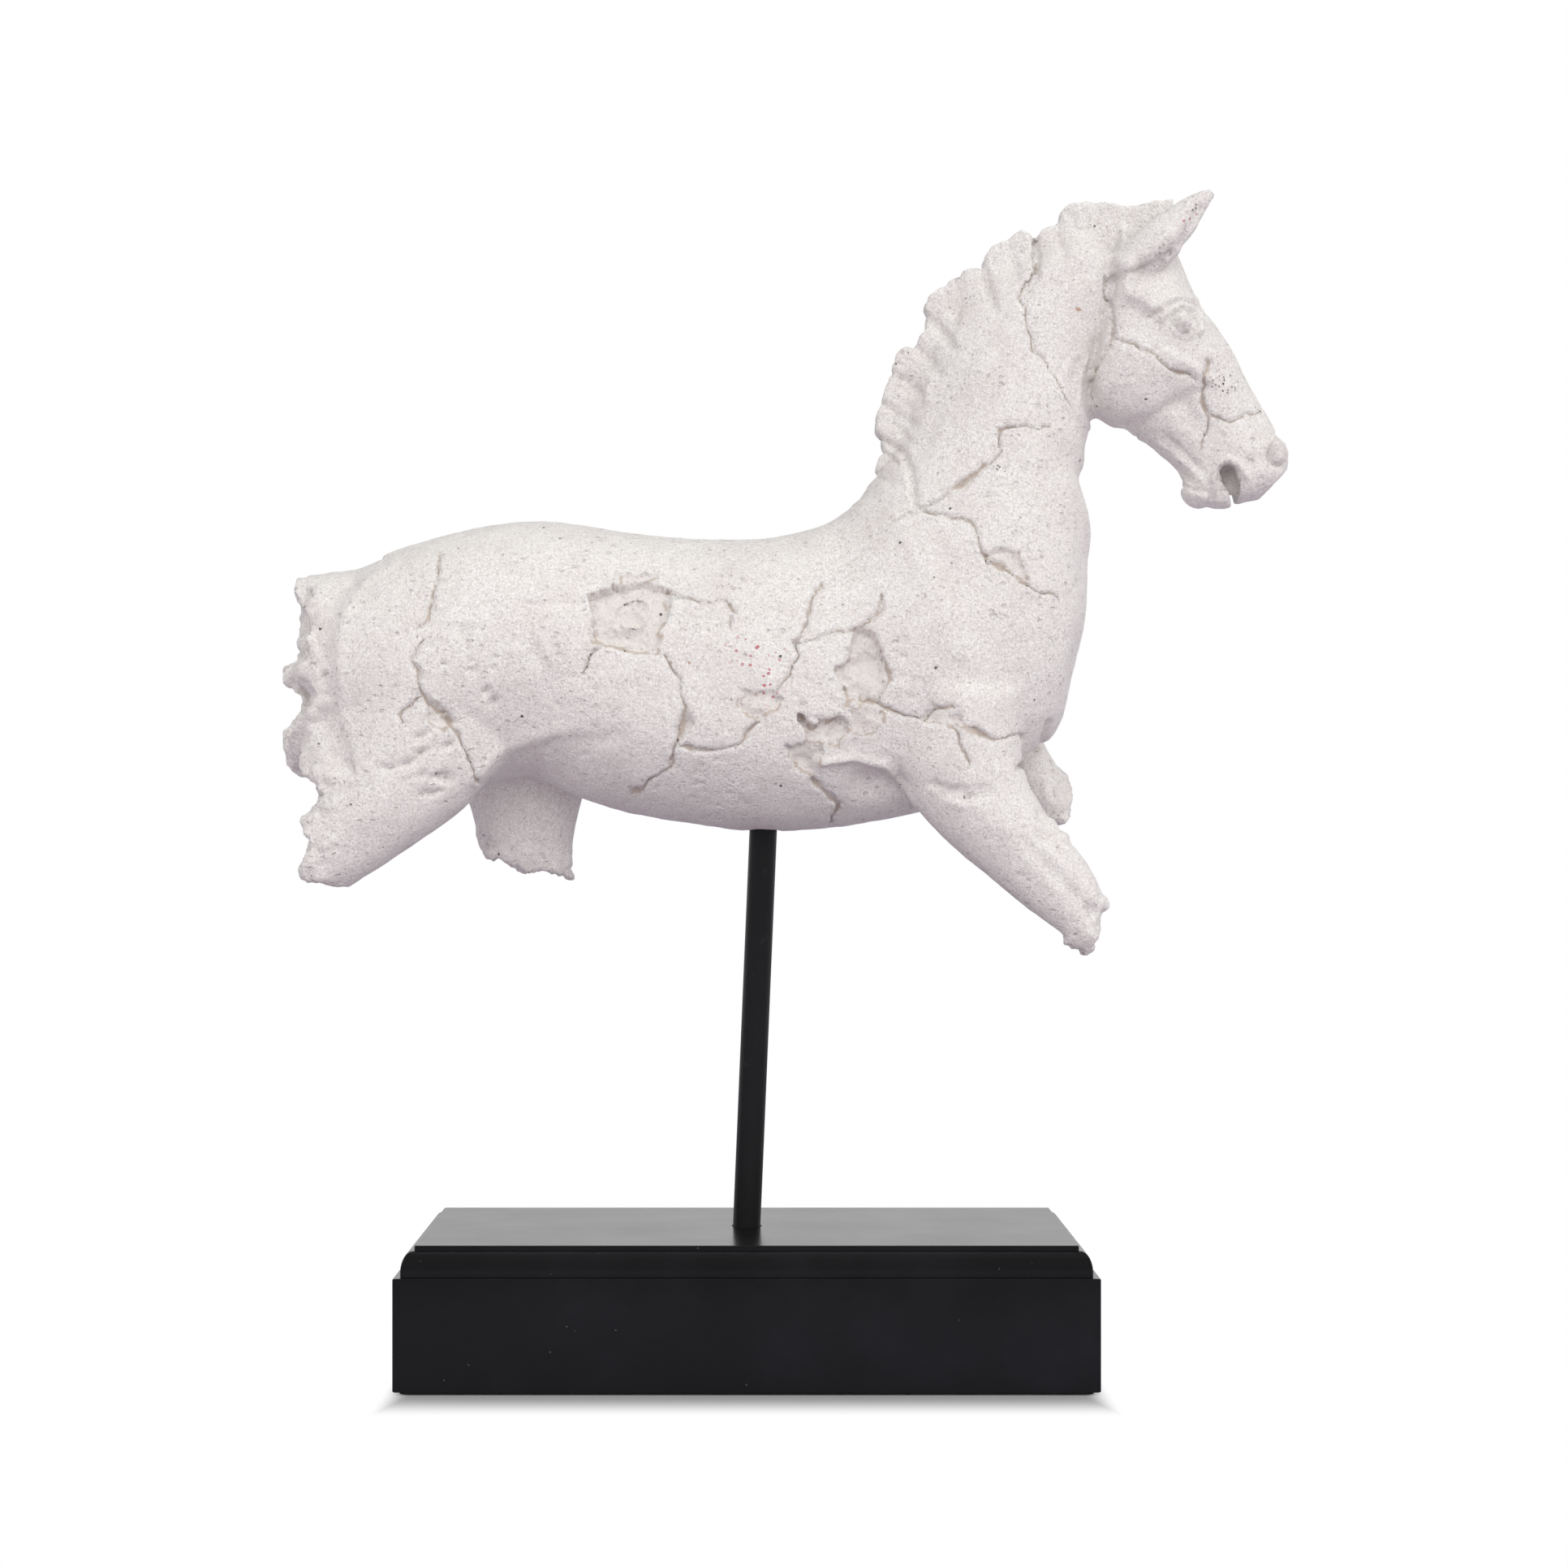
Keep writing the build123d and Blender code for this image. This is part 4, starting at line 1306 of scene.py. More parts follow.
@dataclass(frozen=True)
class PadFinish:
    """Matt black foam rubber with open cells."""

    body: Colour = (0.018, 0.018, 0.018)
    worn: Colour = (0.05, 0.05, 0.05)
    cell_size: float = 0.8 * MM
    cell_range: Place = (0.5, 0.2)
    bump_depth: float = 0.12 * MM

    def material(self) -> bpy.types.Material:
        """Build the material.

        Returns:
            The material.
        """
        material, shader = new_material("pad_rubber")
        place = shader.object_place()
        middle, kind = shader.cells(place, self.cell_size)
        colour = shader.blend(shader.ramp(middle, *self.cell_range) * kind, self.body, self.worn)
        shader.finish({
            "Base Color": colour,
            "Roughness": 0.82 + kind * 0.12,
            "Normal": shader.bump(middle, self.bump_depth),
        })
        return material


@dataclass
class HorseTorso:
    """The cast horse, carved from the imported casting's shape."""

    view: PhotoView
    node: str = "horse_casting"
    body: str = "horse"
    voxel: float = 0.6 * MM
    quick_voxel: float = 1.1 * MM
    triangles: int = 190_000
    box_margin: float = 0.05 * MM
    mane_centre: Place = (1330.0, 640.0)
    mane_waves: Layers = ((27.0, 0.7, 24), (64.0, 0.4, 25))
    mane_bend: Layers = ((16 * MM, 0.05, 21), (6 * MM, 0.02, 22))
    mane_reach: float = 60.0
    mane_fade: Place = (6.0, 56.0)
    mane_patch: float = 14 * MM
    mane_sharpness: float = 0.7
    mane_sink: float = 0.4
    soft_rounds: int = 100
    form_rounds: int = 12
    mark_rounds: int = 6
    chip_rounds: int = 10
    crack_rounds: int = 8
    flank_edge: Place = (-2 * MM, 3 * MM)
    # Where the chips' walls get painted shade, and how strong it is
    rim_range: Place = (0.1, 0.9)
    chip_wall_shade: float = 0.95
    mouth: Place = (1517.0, 593.0)
    mouth_sizes: Triple = (6.0 * MM, 3.0 * MM, 5.5 * MM)
    plain_weight: float = 0.42
    detail_steps: Triple = (0.0, 0.34, 0.67)
    detail_step: float = 0.34
    head_edge: Place = (1330.0, 1390.0)
    head_slope: Place = (700.0, 0.3)
    head_bottom: float = 640.0
    head_detail: float = 0.9
    near_detail: float = 0.4
    mark_strays: tuple[Layers, Layers] = (((4 * MM, 3.0, 17),), ((4 * MM, 3.0, 18),))
    chip_reach: float = 24.0
    chip_rags: Layers = ((5 * MM, 6.0, 3), (1.8 * MM, 3.5, 4))
    chip_wall: float = 1.5
    chip_slope: float = 9.0
    chip_shallow: float = 0.3
    pebble_size: float = 3.4 * MM
    pebble_height: float = 1.3
    crumb_size: float = 1.7 * MM
    crumb_height: float = 0.5
    grain_level: float = 0.7
    floor_lumps: Layers = ((5.5 * MM, 0.8, 6),)
    crack_strays: tuple[Layers, Layers] = (
        ((3.5 * MM, 2.6, 11), (1.4 * MM, 1.3, 12)),
        ((3.5 * MM, 2.6, 13), (1.4 * MM, 1.3, 14)),
    )
    crack_widths: Layers = ((10 * MM, 1.0, 15), (3 * MM, 0.4, 16))
    crack_reach: float = 30.0
    crack_least: float = 0.7
    crack_spread: float = 0.3
    crack_shares: Place = (0.6, 0.5)
    groove_depths: Place = (0.6, 0.15)
    groove_edges: Place = (0.4, 1.15)
    stain_edges: Place = (0.2, 1.1)
    plate_height: float = 0.22
    plate_reach: float = 9.0
    pocket_edge: float = -5.0
    pocket_ring: Place = (-17.0, -5.5)
    pocket_miss: float = 0.4 * MM
    fit_unit: float = 10 * MM
    fit_degree: int = 3
    crag_size: float = 7.5 * MM
    crag_level: float = 0.75
    chunk_size: float = 2.8 * MM
    chunk_level: float = 0.6
    chunk_share: float = 0.4
    crag_height: float = 3.2
    crag_sink: float = 0.9
    break_reach: float = 46.0
    break_fade: Place = (8.0, 38.0)
    break_drift: Layers = ((14 * MM, 3.6, 45), (5 * MM, 1.4, 46))
    skin_lumps: Layers = ((9 * MM, 0.20, 41), (3.2 * MM, 0.14, 42))
    pock_depth: float = 0.7
    pock_size: float = 3.6 * MM
    pock_radius: float = 0.30
    pock_wall: float = 0.2
    pock_stretch: Triple = (0.5, 1.0, 1.0)
    pocked_size: float = 26 * MM
    pocked_range: Place = (0.05, 0.45)

    def build(self) -> bpy.types.Object:
        """Make, carve and dress the horse.

        Returns:
            The piece.
        """
        piece = self.block_out()
        surface = Surface(piece.data)
        surface.points = surface.relax(surface.points, 3)
        self.soften_joins(surface)
        self.fill_pockets(surface)
        LOG.info("blocked out with %d points", len(surface.points))
        self.model_forms(surface)
        self.chip(surface)
        self.crack(surface)
        self.roughen(surface)
        self.keep_in_box(surface)
        surface.store()
        self.thin_out(piece)
        self.store_masks(piece.data)
        piece.data.shade_smooth()
        piece.data.materials.clear()
        piece.data.materials.append(ResinFinish().material())
        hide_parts(self.node)
        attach(piece, self.body)
        return piece

    def block_out(self) -> bpy.types.Object:
        """Remesh a copy of the casting evenly.

        Returns:
            The piece, with its mouth filled.
        """
        shape = copy_node(self.node)
        self.fill_mouth(shape)
        piece = add_object("cast_horse", shape)
        remesh = piece.modifiers.new("even", "REMESH")
        remesh.mode = "VOXEL"
        remesh.voxel_size = self.voxel
        bake_modifiers(piece)
        return piece

    def fill_mouth(self, shape: bmesh.types.BMesh) -> None:
        """Close the open mouth's middle, where the teeth and tongue stand.

        Args:
            shape: The casting's mesh, which is added to.
        """
        centre = Matrix.Translation(self.view.lift(self.mouth, 0.0))
        size = Matrix.Diagonal((*self.mouth_sizes, 1.0))
        bmesh.ops.create_icosphere(shape, subdivisions=4, radius=1.0, matrix=centre @ size)

    def soften_joins(self, surface: Surface) -> None:
        """Smooth the skin where lofts of the casting meet.

        Args:
            surface: The casting's skin.
        """
        places = self.view.project(surface.points)
        share = np.zeros(len(places))
        for area in SOFT_SPOTS:
            share = np.maximum(share, area.lift(places))
        surface.relax_part(share, self.soft_rounds)

    def fill_pockets(self, surface: Surface) -> None:
        """Level the casting's plain pockets, so that they are cut again with ragged edges.

        Args:
            surface: The casting's skin.
        """
        places = self.view.project(surface.points)
        near = surface.points[:, 1] < 0.0
        for outline in POCKETS:
            inward = outline_depth(places, outline, self.chip_reach)
            inside = near & (inward > self.pocket_edge)
            ring = near & (inward <= self.pocket_ring[1]) & (inward > self.pocket_ring[0])
            centre = surface.points[inside].mean(axis=0)
            across, _, up = ((surface.points - centre) / self.fit_unit).T
            powers = [(i, j) for i in range(self.fit_degree + 1) for j in range(self.fit_degree + 1 - i)]
            terms = np.stack([across ** i * up ** j for i, j in powers], axis=1)
            for _ in range(2):
                factors, *_ = np.linalg.lstsq(terms[ring], surface.points[ring, 1], rcond=None)
                ring &= np.abs(terms @ factors - surface.points[:, 1]) < self.pocket_miss
            surface.points[inside, 1] = terms[inside] @ factors
        LOG.info("filled the pockets")

    def flank_share(self, points: np.ndarray, flank: Flank) -> np.ndarray:
        """How far points belong to one side, from 0 to 1 across the middle."""
        return smooth_step(points[:, 1] * flank.value, *self.flank_edge)

    def raise_forms(self, surface: Surface, forms: tuple[Swell | Stroke, ...], rounds: int) -> None:
        """Push the skin by the sum of some forms, on both sides.

        Args:
            surface: The casting's skin.
            forms: The forms.
            rounds: Smoothing rounds of the normals.
        """
        places = self.view.project(surface.points)
        surface.push(sum_of_lifts(forms, places), rounds)

    def model_forms(self, surface: Surface) -> None:
        """Model the muscles and the features of the head, then the marks of the near side.

        Args:
            surface: The casting's skin.
        """
        self.raise_forms(surface, SWELLS, self.form_rounds)
        self.raise_forms(surface, EYES, self.form_rounds)
        self.raise_forms(surface, STROKES, self.mark_rounds)
        self.tuft_mane(surface)
        places = self.view.project(surface.points)
        places += np.column_stack([layered_noise(surface.points, layers) for layers in self.mark_strays])
        heights = sum_of_lifts(NEAR_MARKS, places)
        surface.push(heights * self.flank_share(surface.points, Flank.NEAR), self.mark_rounds)

    def tuft_mane(self, surface: Surface) -> None:
        """Part the mane into uneven upright tufts that fade towards the neck.

        Args:
            surface: The casting's skin.
        """
        places = self.view.project(surface.points)
        distance, _, _ = line_distance(places, CREST_LINE, self.mane_reach)
        centre_x, centre_y = self.mane_centre
        angle = np.arctan2(places[:, 1] - centre_y, places[:, 0] - centre_x)
        bend = layered_noise(surface.points, self.mane_bend)
        fade = 1.0 - smooth_step(distance, *self.mane_fade)
        heights = np.zeros(len(places))
        for count, height, seed in self.mane_waves:
            strength = 0.55 + 0.45 * lattice_noise(surface.points, self.mane_patch, seed)
            heights += np.abs(np.sin((angle + bend) * count)) ** self.mane_sharpness * height * strength
        surface.push((heights - self.mane_sink) * fade, self.mark_rounds)

    def chip_depth(
        self, points: np.ndarray, places: np.ndarray, flank: Flank
    ) -> tuple[np.ndarray, np.ndarray]:
        """Depth of the chips.

        Args:
            points: Rows of X, Y and Z.
            places: Their pixel places.
            flank: Whose chips.

        Returns:
            Depth in mm, and how far each point lies in a chip, from 0 to 1.
        """
        ragged = layered_noise(points, self.chip_rags)
        depth = np.zeros(len(points))
        share = np.zeros(len(points))
        for chip in NEAR_CHIPS if flank is Flank.NEAR else FAR_CHIPS:
            inward = outline_depth(places, chip.outline, self.chip_reach)
            sloped = chip.openness(places)
            wall = self.chip_wall
            ragged_share = smooth_step(inward + ragged + wall, -wall, wall + self.chip_slope * sloped)
            depth = np.maximum(depth, chip.depth * ragged_share * (1.0 - self.chip_shallow * sloped))
            share = np.maximum(share, ragged_share)
        return depth, share

    def chip(self, surface: Surface) -> None:
        """Sink the chipped patches and break up their floors.

        Args:
            surface: The casting's skin.
        """
        for flank in Flank:
            places = self.view.project(surface.points)
            depth, share = self.chip_depth(surface.points, places, flank)
            side = self.flank_share(surface.points, flank)
            pebbles = self.grain_level - cell_noise(surface.points, self.pebble_size, 8)
            crumbs = self.grain_level - cell_noise(surface.points, self.crumb_size, 9)
            lumps = layered_noise(surface.points, self.floor_lumps)
            floor = pebbles * self.pebble_height + crumbs * self.crumb_height + lumps
            surface.push((share * floor - depth) * side, self.chip_rounds)

    def crack_depth(self, points: np.ndarray, flank: Flank) -> tuple[np.ndarray, np.ndarray, np.ndarray]:
        """Depth and stain of the cracks.

        Args:
            points: Rows of X, Y and Z.
            flank: Whose cracks.

        Returns:
            Depth in mm, stain from 0 to 1, and the height of the plates beside the cracks in mm.
        """
        places = self.view.project(points)
        ragged = places + np.column_stack([layered_noise(points, layers) for layers in self.crack_strays])
        uneven = layered_noise(points, self.crack_widths)
        shares = self.crack_shares[0] + self.crack_shares[1] * uneven
        shallow, deepening = self.groove_depths
        depth = np.zeros(len(points))
        stain = np.zeros(len(points))
        plates = np.zeros(len(points))
        for line in NEAR_CRACKS if flank is Flank.NEAR else FAR_CRACKS:
            distance, width, side = line_distance(ragged, line, self.crack_reach)
            half = np.maximum(width * shares, self.crack_least) + self.crack_spread
            begin, end = self.groove_edges
            groove = 1.0 - smooth_step(distance, half * begin, half * end)
            depth = np.maximum(depth, groove * (shallow + deepening * width))
            begin, end = self.stain_edges
            stain = np.maximum(stain, 1.0 - smooth_step(distance, half * begin, half * end))
            plates += side * self.plate_height * np.exp(-distance / self.plate_reach)
        return depth, stain, plates

    def crack(self, surface: Surface) -> None:
        """Cut the cracks of both sides.

        Args:
            surface: The casting's skin.
        """
        for flank in Flank:
            depth, _, plates = self.crack_depth(surface.points, flank)
            side = self.flank_share(surface.points, flank)
            surface.push((plates - depth) * side, self.crack_rounds)

    def roughen(self, surface: Surface) -> None:
        """Break up the broken ends and give the whole skin its cast lumps.

        Args:
            surface: The casting's skin.
        """
        places = self.view.project(surface.points)
        near_break = np.zeros(len(places))
        for line in BREAK_LINES:
            distance, _, _ = line_distance(places, line, self.break_reach)
            near_break = np.maximum(near_break, 1.0 - smooth_step(distance, *self.break_fade))
        crags = self.crag_level - cell_noise(surface.points, self.crag_size, 31)
        crags += (self.chunk_level - cell_noise(surface.points, self.chunk_size, 32)) * self.chunk_share
        lumps = layered_noise(surface.points, self.skin_lumps)
        stretched = surface.points * np.array(self.pock_stretch)
        pocked = smooth_step(lattice_noise(surface.points, self.pocked_size, 43), *self.pocked_range)
        inward = self.pock_radius - cell_noise(stretched, self.pock_size, 44)
        pocks = smooth_step(inward, 0.0, self.pock_wall) * pocked
        across = surface.points * np.array((0.0, 1.0, 1.0))
        surface.points[:, 0] += near_break * layered_noise(across, self.break_drift) * MM
        heights = near_break * (crags * self.crag_height - self.crag_sink)
        surface.push(heights + lumps - pocks * self.pock_depth, self.mark_rounds)

    def keep_in_box(self, surface: Surface) -> None:
        """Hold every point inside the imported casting's box.

        Args:
            surface: The casting's skin.
        """
        low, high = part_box(self.node)
        low, high = np.array(low) + self.box_margin, np.array(high) - self.box_margin
        surface.points = np.clip(surface.points, low, high)

    def thin_out(self, piece: bpy.types.Object) -> None:
        """Bring the mesh under its number of triangles.

        Args:
            piece: The piece, which is changed.
        """
        count = sum(len(face.vertices) - 2 for face in piece.data.polygons)
        if count > self.triangles:
            detail = self.detail_share(Surface(piece.data).points)
            group = piece.vertex_groups.new(name="plain")
            for low in self.detail_steps:
                rows = np.flatnonzero((detail >= low) & (detail < low + self.detail_step))
                group.add(rows.tolist(), self.plain_weight * (1.0 - low), "REPLACE")
            modifier = piece.modifiers.new("thin", "DECIMATE")
            modifier.ratio = self.triangles / count
            modifier.vertex_group = group.name
            bake_modifiers(piece)
            piece.vertex_groups.clear()
        LOG.info("thinned from %d triangles to %d", count, len(piece.data.polygons))

    def detail_share(self, points: np.ndarray) -> np.ndarray:
        """How finely each place is modelled, from 0 on plain skin to 1 on the head and in cracks.

        Args:
            points: Rows of X, Y and Z.

        Returns:
            One share for each point.
        """
        places = self.view.project(points)
        level, slope = self.head_slope
        head = smooth_step(places[:, 0] + (level - places[:, 1]) * slope, *self.head_edge) * self.head_detail
        detail = np.where(places[:, 1] < self.head_bottom, head, 0.0)
        for flank in Flank:
            side = self.flank_share(points, flank)
            _, stain, _ = self.crack_depth(points, flank)
            _, share = self.chip_depth(points, places, flank)
            detail = np.maximum(detail, np.maximum(stain, share) * side)
        return np.maximum(detail, self.flank_share(points, Flank.NEAR) * self.near_detail)

    def store_masks(self, mesh: bpy.types.Mesh) -> None:
        """Store on the points where cracks, chips, flecks, pits and rust show; the crack mask also carries
        painted shade on the chips' walls.

        Args:
            mesh: The finished mesh.
        """
        surface = Surface(mesh)
        points = surface.points
        places = self.view.project(points)
        masks = {mask: np.zeros(len(points)) for mask in Mask}
        for flank in Flank:
            side = self.flank_share(points, flank)
            _, stain, _ = self.crack_depth(points, flank)
            _, share = self.chip_depth(points, places, flank)
            # Painted shade on the chips' walls, strongest halfway down them, stored with the crack stain
            rim = smooth_step(4.0 * share * (1.0 - share), *self.rim_range) * self.chip_wall_shade
            masks[Mask.CRACK] = np.maximum(masks[Mask.CRACK], np.maximum(stain, rim) * side)
            masks[Mask.CHIP] = np.maximum(masks[Mask.CHIP], share * side)
        near = self.flank_share(points, Flank.NEAR)
        spots = {Mask.FLECK: FLECK_AREAS, Mask.PITTED: PIT_AREAS, Mask.RUST: RUST_SPOTS}
        for mask, areas in spots.items():
            for area in areas:
                masks[mask] = np.maximum(masks[mask], area.lift(places) * near)
        for mask, values in masks.items():
            layer = mesh.attributes.new(mask.value, "FLOAT", "POINT")
            layer.data.foreach_set("value", values.astype(np.float32))


@dataclass
class MouldedTop:
    """The plinth's top board, with a stepped ovolo round it and the rod's hole."""

    node: str = "plinth_top"
    edge_rise: float = 1.7 * MM
    ovolo_width: float = 3.8 * MM
    ovolo_height: float = 7.0 * MM
    quirk_width: float = 0.6 * MM
    lip_round: float = 0.4 * MM
    corner_radius: float = 0.9 * MM
    corner_steps: int = 6
    ovolo_steps: int = 12
    hole_radius: float = 5.5 * MM
    hole_steps: int = 72
    lip_shares: tuple[float, ...] = (0.0, 0.3, 0.6, 0.85, 1.0)

    def profile(self, height: float) -> list[Place]:
        """Inset and height of each ring, from the underside to the top face.

        Args:
            height: Height of the board in metres.

        Returns:
            The rings' places.
        """
        places = [(self.lip_round, 0.0), (0.0, 0.0), (0.0, self.edge_rise)]
        for step in range(1, self.ovolo_steps + 1):
            angle = math.pi / 2 * step / self.ovolo_steps
            inset = self.ovolo_width * (1.0 - math.cos(angle))
            places.append((inset, self.edge_rise + self.ovolo_height * math.sin(angle)))
        lip = self.ovolo_width + self.quirk_width
        places.append((lip, places[-1][1]))
        for share in self.lip_shares:
            angle = math.pi / 2 * share
            inset = lip + self.lip_round * (1.0 - math.cos(angle))
            places.append((inset, height - self.lip_round * (1.0 - math.sin(angle))))
        places.append((lip + self.lip_round * 3.0, height))
        return places

    def ring(self, half_x: float, half_y: float) -> list[Place]:
        """Points of one rounded rectangle, anticlockwise.

        Args:
            half_x: Its half length in metres.
            half_y: Its half depth in metres.

        Returns:
            The points.
        """
        points = []
        for corner in range(4):
            side_x = (1, -1, -1, 1)[corner]
            side_y = (1, 1, -1, -1)[corner]
            for step in range(self.corner_steps + 1):
                angle = math.pi / 2 * (corner + step / self.corner_steps)
                points.append((
                    side_x * (half_x - self.corner_radius) + self.corner_radius * math.cos(angle),
                    side_y * (half_y - self.corner_radius) + self.corner_radius * math.sin(angle),
                ))
        return points

    def build(self) -> bpy.types.Object:
        """Make the board from stacked rings, closed round the hole.

        Returns:
            The board.
        """
        low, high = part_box(self.node)
        shape = bmesh.new()
        rings = []
        for inset, height in self.profile(high.z - low.z):
            points = self.ring(high.x - inset, high.y - inset)
            rings.append([shape.verts.new((x, y, low.z + height)) for x, y in points])
        for lower, upper in zip(rings, rings[1:]):
            for first in range(len(lower)):
                last = (first + 1) % len(lower)
                shape.faces.new((lower[first], lower[last], upper[last], upper[first]))
        holes = []
        for height in (low.z, high.z):
            shift = (height - high.z) * math.tan(ROD_LEAN)
            circle = []
            for step in range(self.hole_steps):
                angle = math.tau * step / self.hole_steps
                across = self.hole_radius * math.cos(angle)
                along = self.hole_radius * math.sin(angle)
                circle.append(shape.verts.new((shift + across, along, height)))
            holes.append(circle)
        for first in range(self.hole_steps):
            last = (first + 1) % self.hole_steps
            shape.faces.new((holes[0][last], holes[0][first], holes[1][first], holes[1][last]))
        for outer, hole in ((rings[0], holes[0]), (rings[-1], holes[1])):
            edges = []
            for loop in (outer, hole):
                for first, last in zip(loop, loop[1:] + loop[:1]):
                    edges.append(shape.edges.get((first, last)) or shape.edges.new((first, last)))
            bmesh.ops.triangle_fill(shape, use_beauty=True, use_dissolve=False, edges=edges)
        bmesh.ops.recalc_face_normals(shape, faces=shape.faces)
        return add_object("moulded_top", shape)


@dataclass
class SideBoard:
    """One mitred side board of the plinth, with softened edges and the bottom board's rebate."""

    node: str
    turn: float
    edge_round: float = 0.5 * MM
    edge_steps: int = 4
    corner_radius: float = 0.9 * MM
    corner_steps: int = 4
    rebate_width: float = 6.0 * MM
    arc_gap: float = 0.1 * MM

    def section(self, thickness: float, height: float, rebate_height: float) -> list[Place]:
        """Depth and height of the board's outline, outer face first.

        Args:
            thickness: Thickness of the board in metres.
            height: Its height.
            rebate_height: Height of the rebate.

        Returns:
            The outline's points.
        """
        points = []
        for centre_z, begin in ((self.edge_round, 1.5), (height - self.edge_round, 1.0)):
            for step in range(self.edge_steps + 1):
                angle = math.pi * (begin - 0.5 * step / self.edge_steps)
                depth = self.edge_round * (1.0 + math.cos(angle))
                points.append((depth, centre_z + self.edge_round * math.sin(angle)))
        inner = thickness - self.rebate_width
        points += [(thickness, height), (thickness, rebate_height), (inner, rebate_height), (inner, 0.0)]
        return points

    def build(self) -> bpy.types.Object:
        """Make the board as a loft of its section between the two mitres.

        Returns:
            The board.
        """
        low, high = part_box(self.node)
        bottom_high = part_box("plinth_bottom")[1]
        turn = Matrix.Rotation(math.radians(self.turn), 4, "Z")
        size = high - low
        length, thickness = max(size.x, size.y), min(size.x, size.y)
        outward = max(abs(low.x), abs(high.x)) if size.y > size.x else max(abs(low.y), abs(high.y))
        outline = self.section(thickness, size.z, bottom_high.z - low.z)
        stations = []
        for end in (-1, 1):
            arc = []
            for step in range(self.corner_steps + 1):
                angle = math.pi / 4 * (1.0 - step / self.corner_steps)
                reach = length / 2 - self.corner_radius * (1.0 - math.sin(angle))
                sunk = self.corner_radius * (1.0 - math.cos(angle))
                arc.append((end * reach, sunk, end * (length / 2 - thickness - self.arc_gap * step)))
            stations += arc if end < 0 else arc[::-1]
        shape = bmesh.new()
        loops = []
        for outer_x, sunk, inner_x in stations:
            loop = []
            for depth, height in outline:
                share = depth / thickness
                inward = sunk * (1.0 - share) + depth
                along = outer_x + (inner_x - outer_x) * (inward - sunk) / (thickness - sunk)
                place = turn @ Vector((along, inward - outward, low.z + height))
                loop.append(shape.verts.new(place))
            loops.append(loop)
        for first_loop, last_loop in zip(loops, loops[1:]):
            for first in range(len(outline)):
                last = (first + 1) % len(outline)
                corners = (first_loop[first], first_loop[last], last_loop[last], last_loop[first])
                shape.faces.new(corners)
        shape.faces.new(loops[0])
        shape.faces.new(loops[-1][::-1])
        bmesh.ops.recalc_face_normals(shape, faces=shape.faces)
        return add_object(f"lacquered_{self.node}", shape)


class FieldTree(NodeTree):
    """A Geometry Nodes tree with named inputs."""

    def __init__(self, name: str, sizes: dict[str, float]) -> None:
        """Start the tree.

        Args:
            name: Name of the tree.
            sizes: Its inputs and their values.
        """
        super().__init__(bpy.data.node_groups.new(name, "GeometryNodeTree"))
        self.sizes = sizes
        face = self.tree.interface
        face.new_socket(name="Geometry", in_out="OUTPUT", socket_type="NodeSocketGeometry")
        face.new_socket(name="Geometry", in_out="INPUT", socket_type="NodeSocketGeometry")
        for size in sizes:
            face.new_socket(name=size, in_out="INPUT", socket_type="NodeSocketFloat")
        self.start = self.tree.nodes.new("NodeGroupInput")

    def size(self, name: str) -> bpy.types.NodeSocket:
        """Socket of a named input."""
        return self.start.outputs[name]

    def finish(
        self, geometry: bpy.types.NodeSocket, name: str, material: bpy.types.Material
    ) -> bpy.types.Object:
        """Close the tree and turn its result into a plain mesh.

        Args:
            geometry: The tree's last geometry.
            name: Name of the piece.
            material: Its material.

        Returns:
            The piece.
        """
        real = self.node("GeometryNodeRealizeInstances", None, {0: geometry})
        inputs = {"Geometry": real.outputs[0], "Material": material}
        dressed = self.node("GeometryNodeSetMaterial", None, inputs)
        end = self.tree.nodes.new("NodeGroupOutput")
        self.tree.links.new(dressed.outputs[0], end.inputs[0])
        piece = add_object(name, bmesh.new())
        modifier = piece.modifiers.new("build", "NODES")
        modifier.node_group = self.tree
        for item in self.tree.interface.items_tree:
            if item.in_out == "INPUT" and item.name in self.sizes:
                modifier[item.identifier] = self.sizes[item.name]
        bake_modifiers(piece)
        return piece


@dataclass
class RodThread:
    """The threaded lower end of the rod, as a helix of one pointed ridge."""

    radius: float = 4.0 * MM
    pitch: float = 1.25 * MM
    depth: float = 0.5 * MM
    length: float = 24.0 * MM

    def build(self, material: bpy.types.Material) -> bpy.types.Object:
        """Sweep the ridge along its helix.

        Args:
            material: Finish of the rod.

        Returns:
            The thread.
        """
        low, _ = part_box("rod")
        tree = FieldTree("rod_thread", {
            "Radius": self.radius - self.depth,
            "Turns": self.length / self.pitch,
            "Length": self.length,
            "Ridge": self.depth * 0.62,
        })
        spiral = tree.node("GeometryNodeCurveSpiral", None, {
            "Resolution": 28,
            "Rotations": tree.size("Turns"),
            "Start Radius": tree.size("Radius"),
            "End Radius": tree.size("Radius"),
            "Height": tree.size("Length"),
        })
        ridge = tree.node("GeometryNodeCurvePrimitiveCircle", None, {
            "Resolution": 3, "Radius": tree.size("Ridge"),
        })
        swept = tree.node("GeometryNodeCurveToMesh", None, {
            "Curve": spiral.outputs[0], "Profile Curve": ridge.outputs[0], "Fill Caps": True,
        })
        foot = Vector((self.foot_x(low.z), 0.0, low.z + self.depth))
        placed = tree.node("GeometryNodeTransform", None, {
            "Geometry": swept.outputs[0], "Translation": foot, "Rotation": (0.0, ROD_LEAN, 0.0),
        })
        return tree.finish(placed.outputs[0], "rod_thread", material)

    def foot_x(self, height: float) -> float:
        """X of the rod's axis at a height, from its crossing of the plinth's top."""
        return (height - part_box("plinth_top")[1].z) * math.tan(ROD_LEAN)


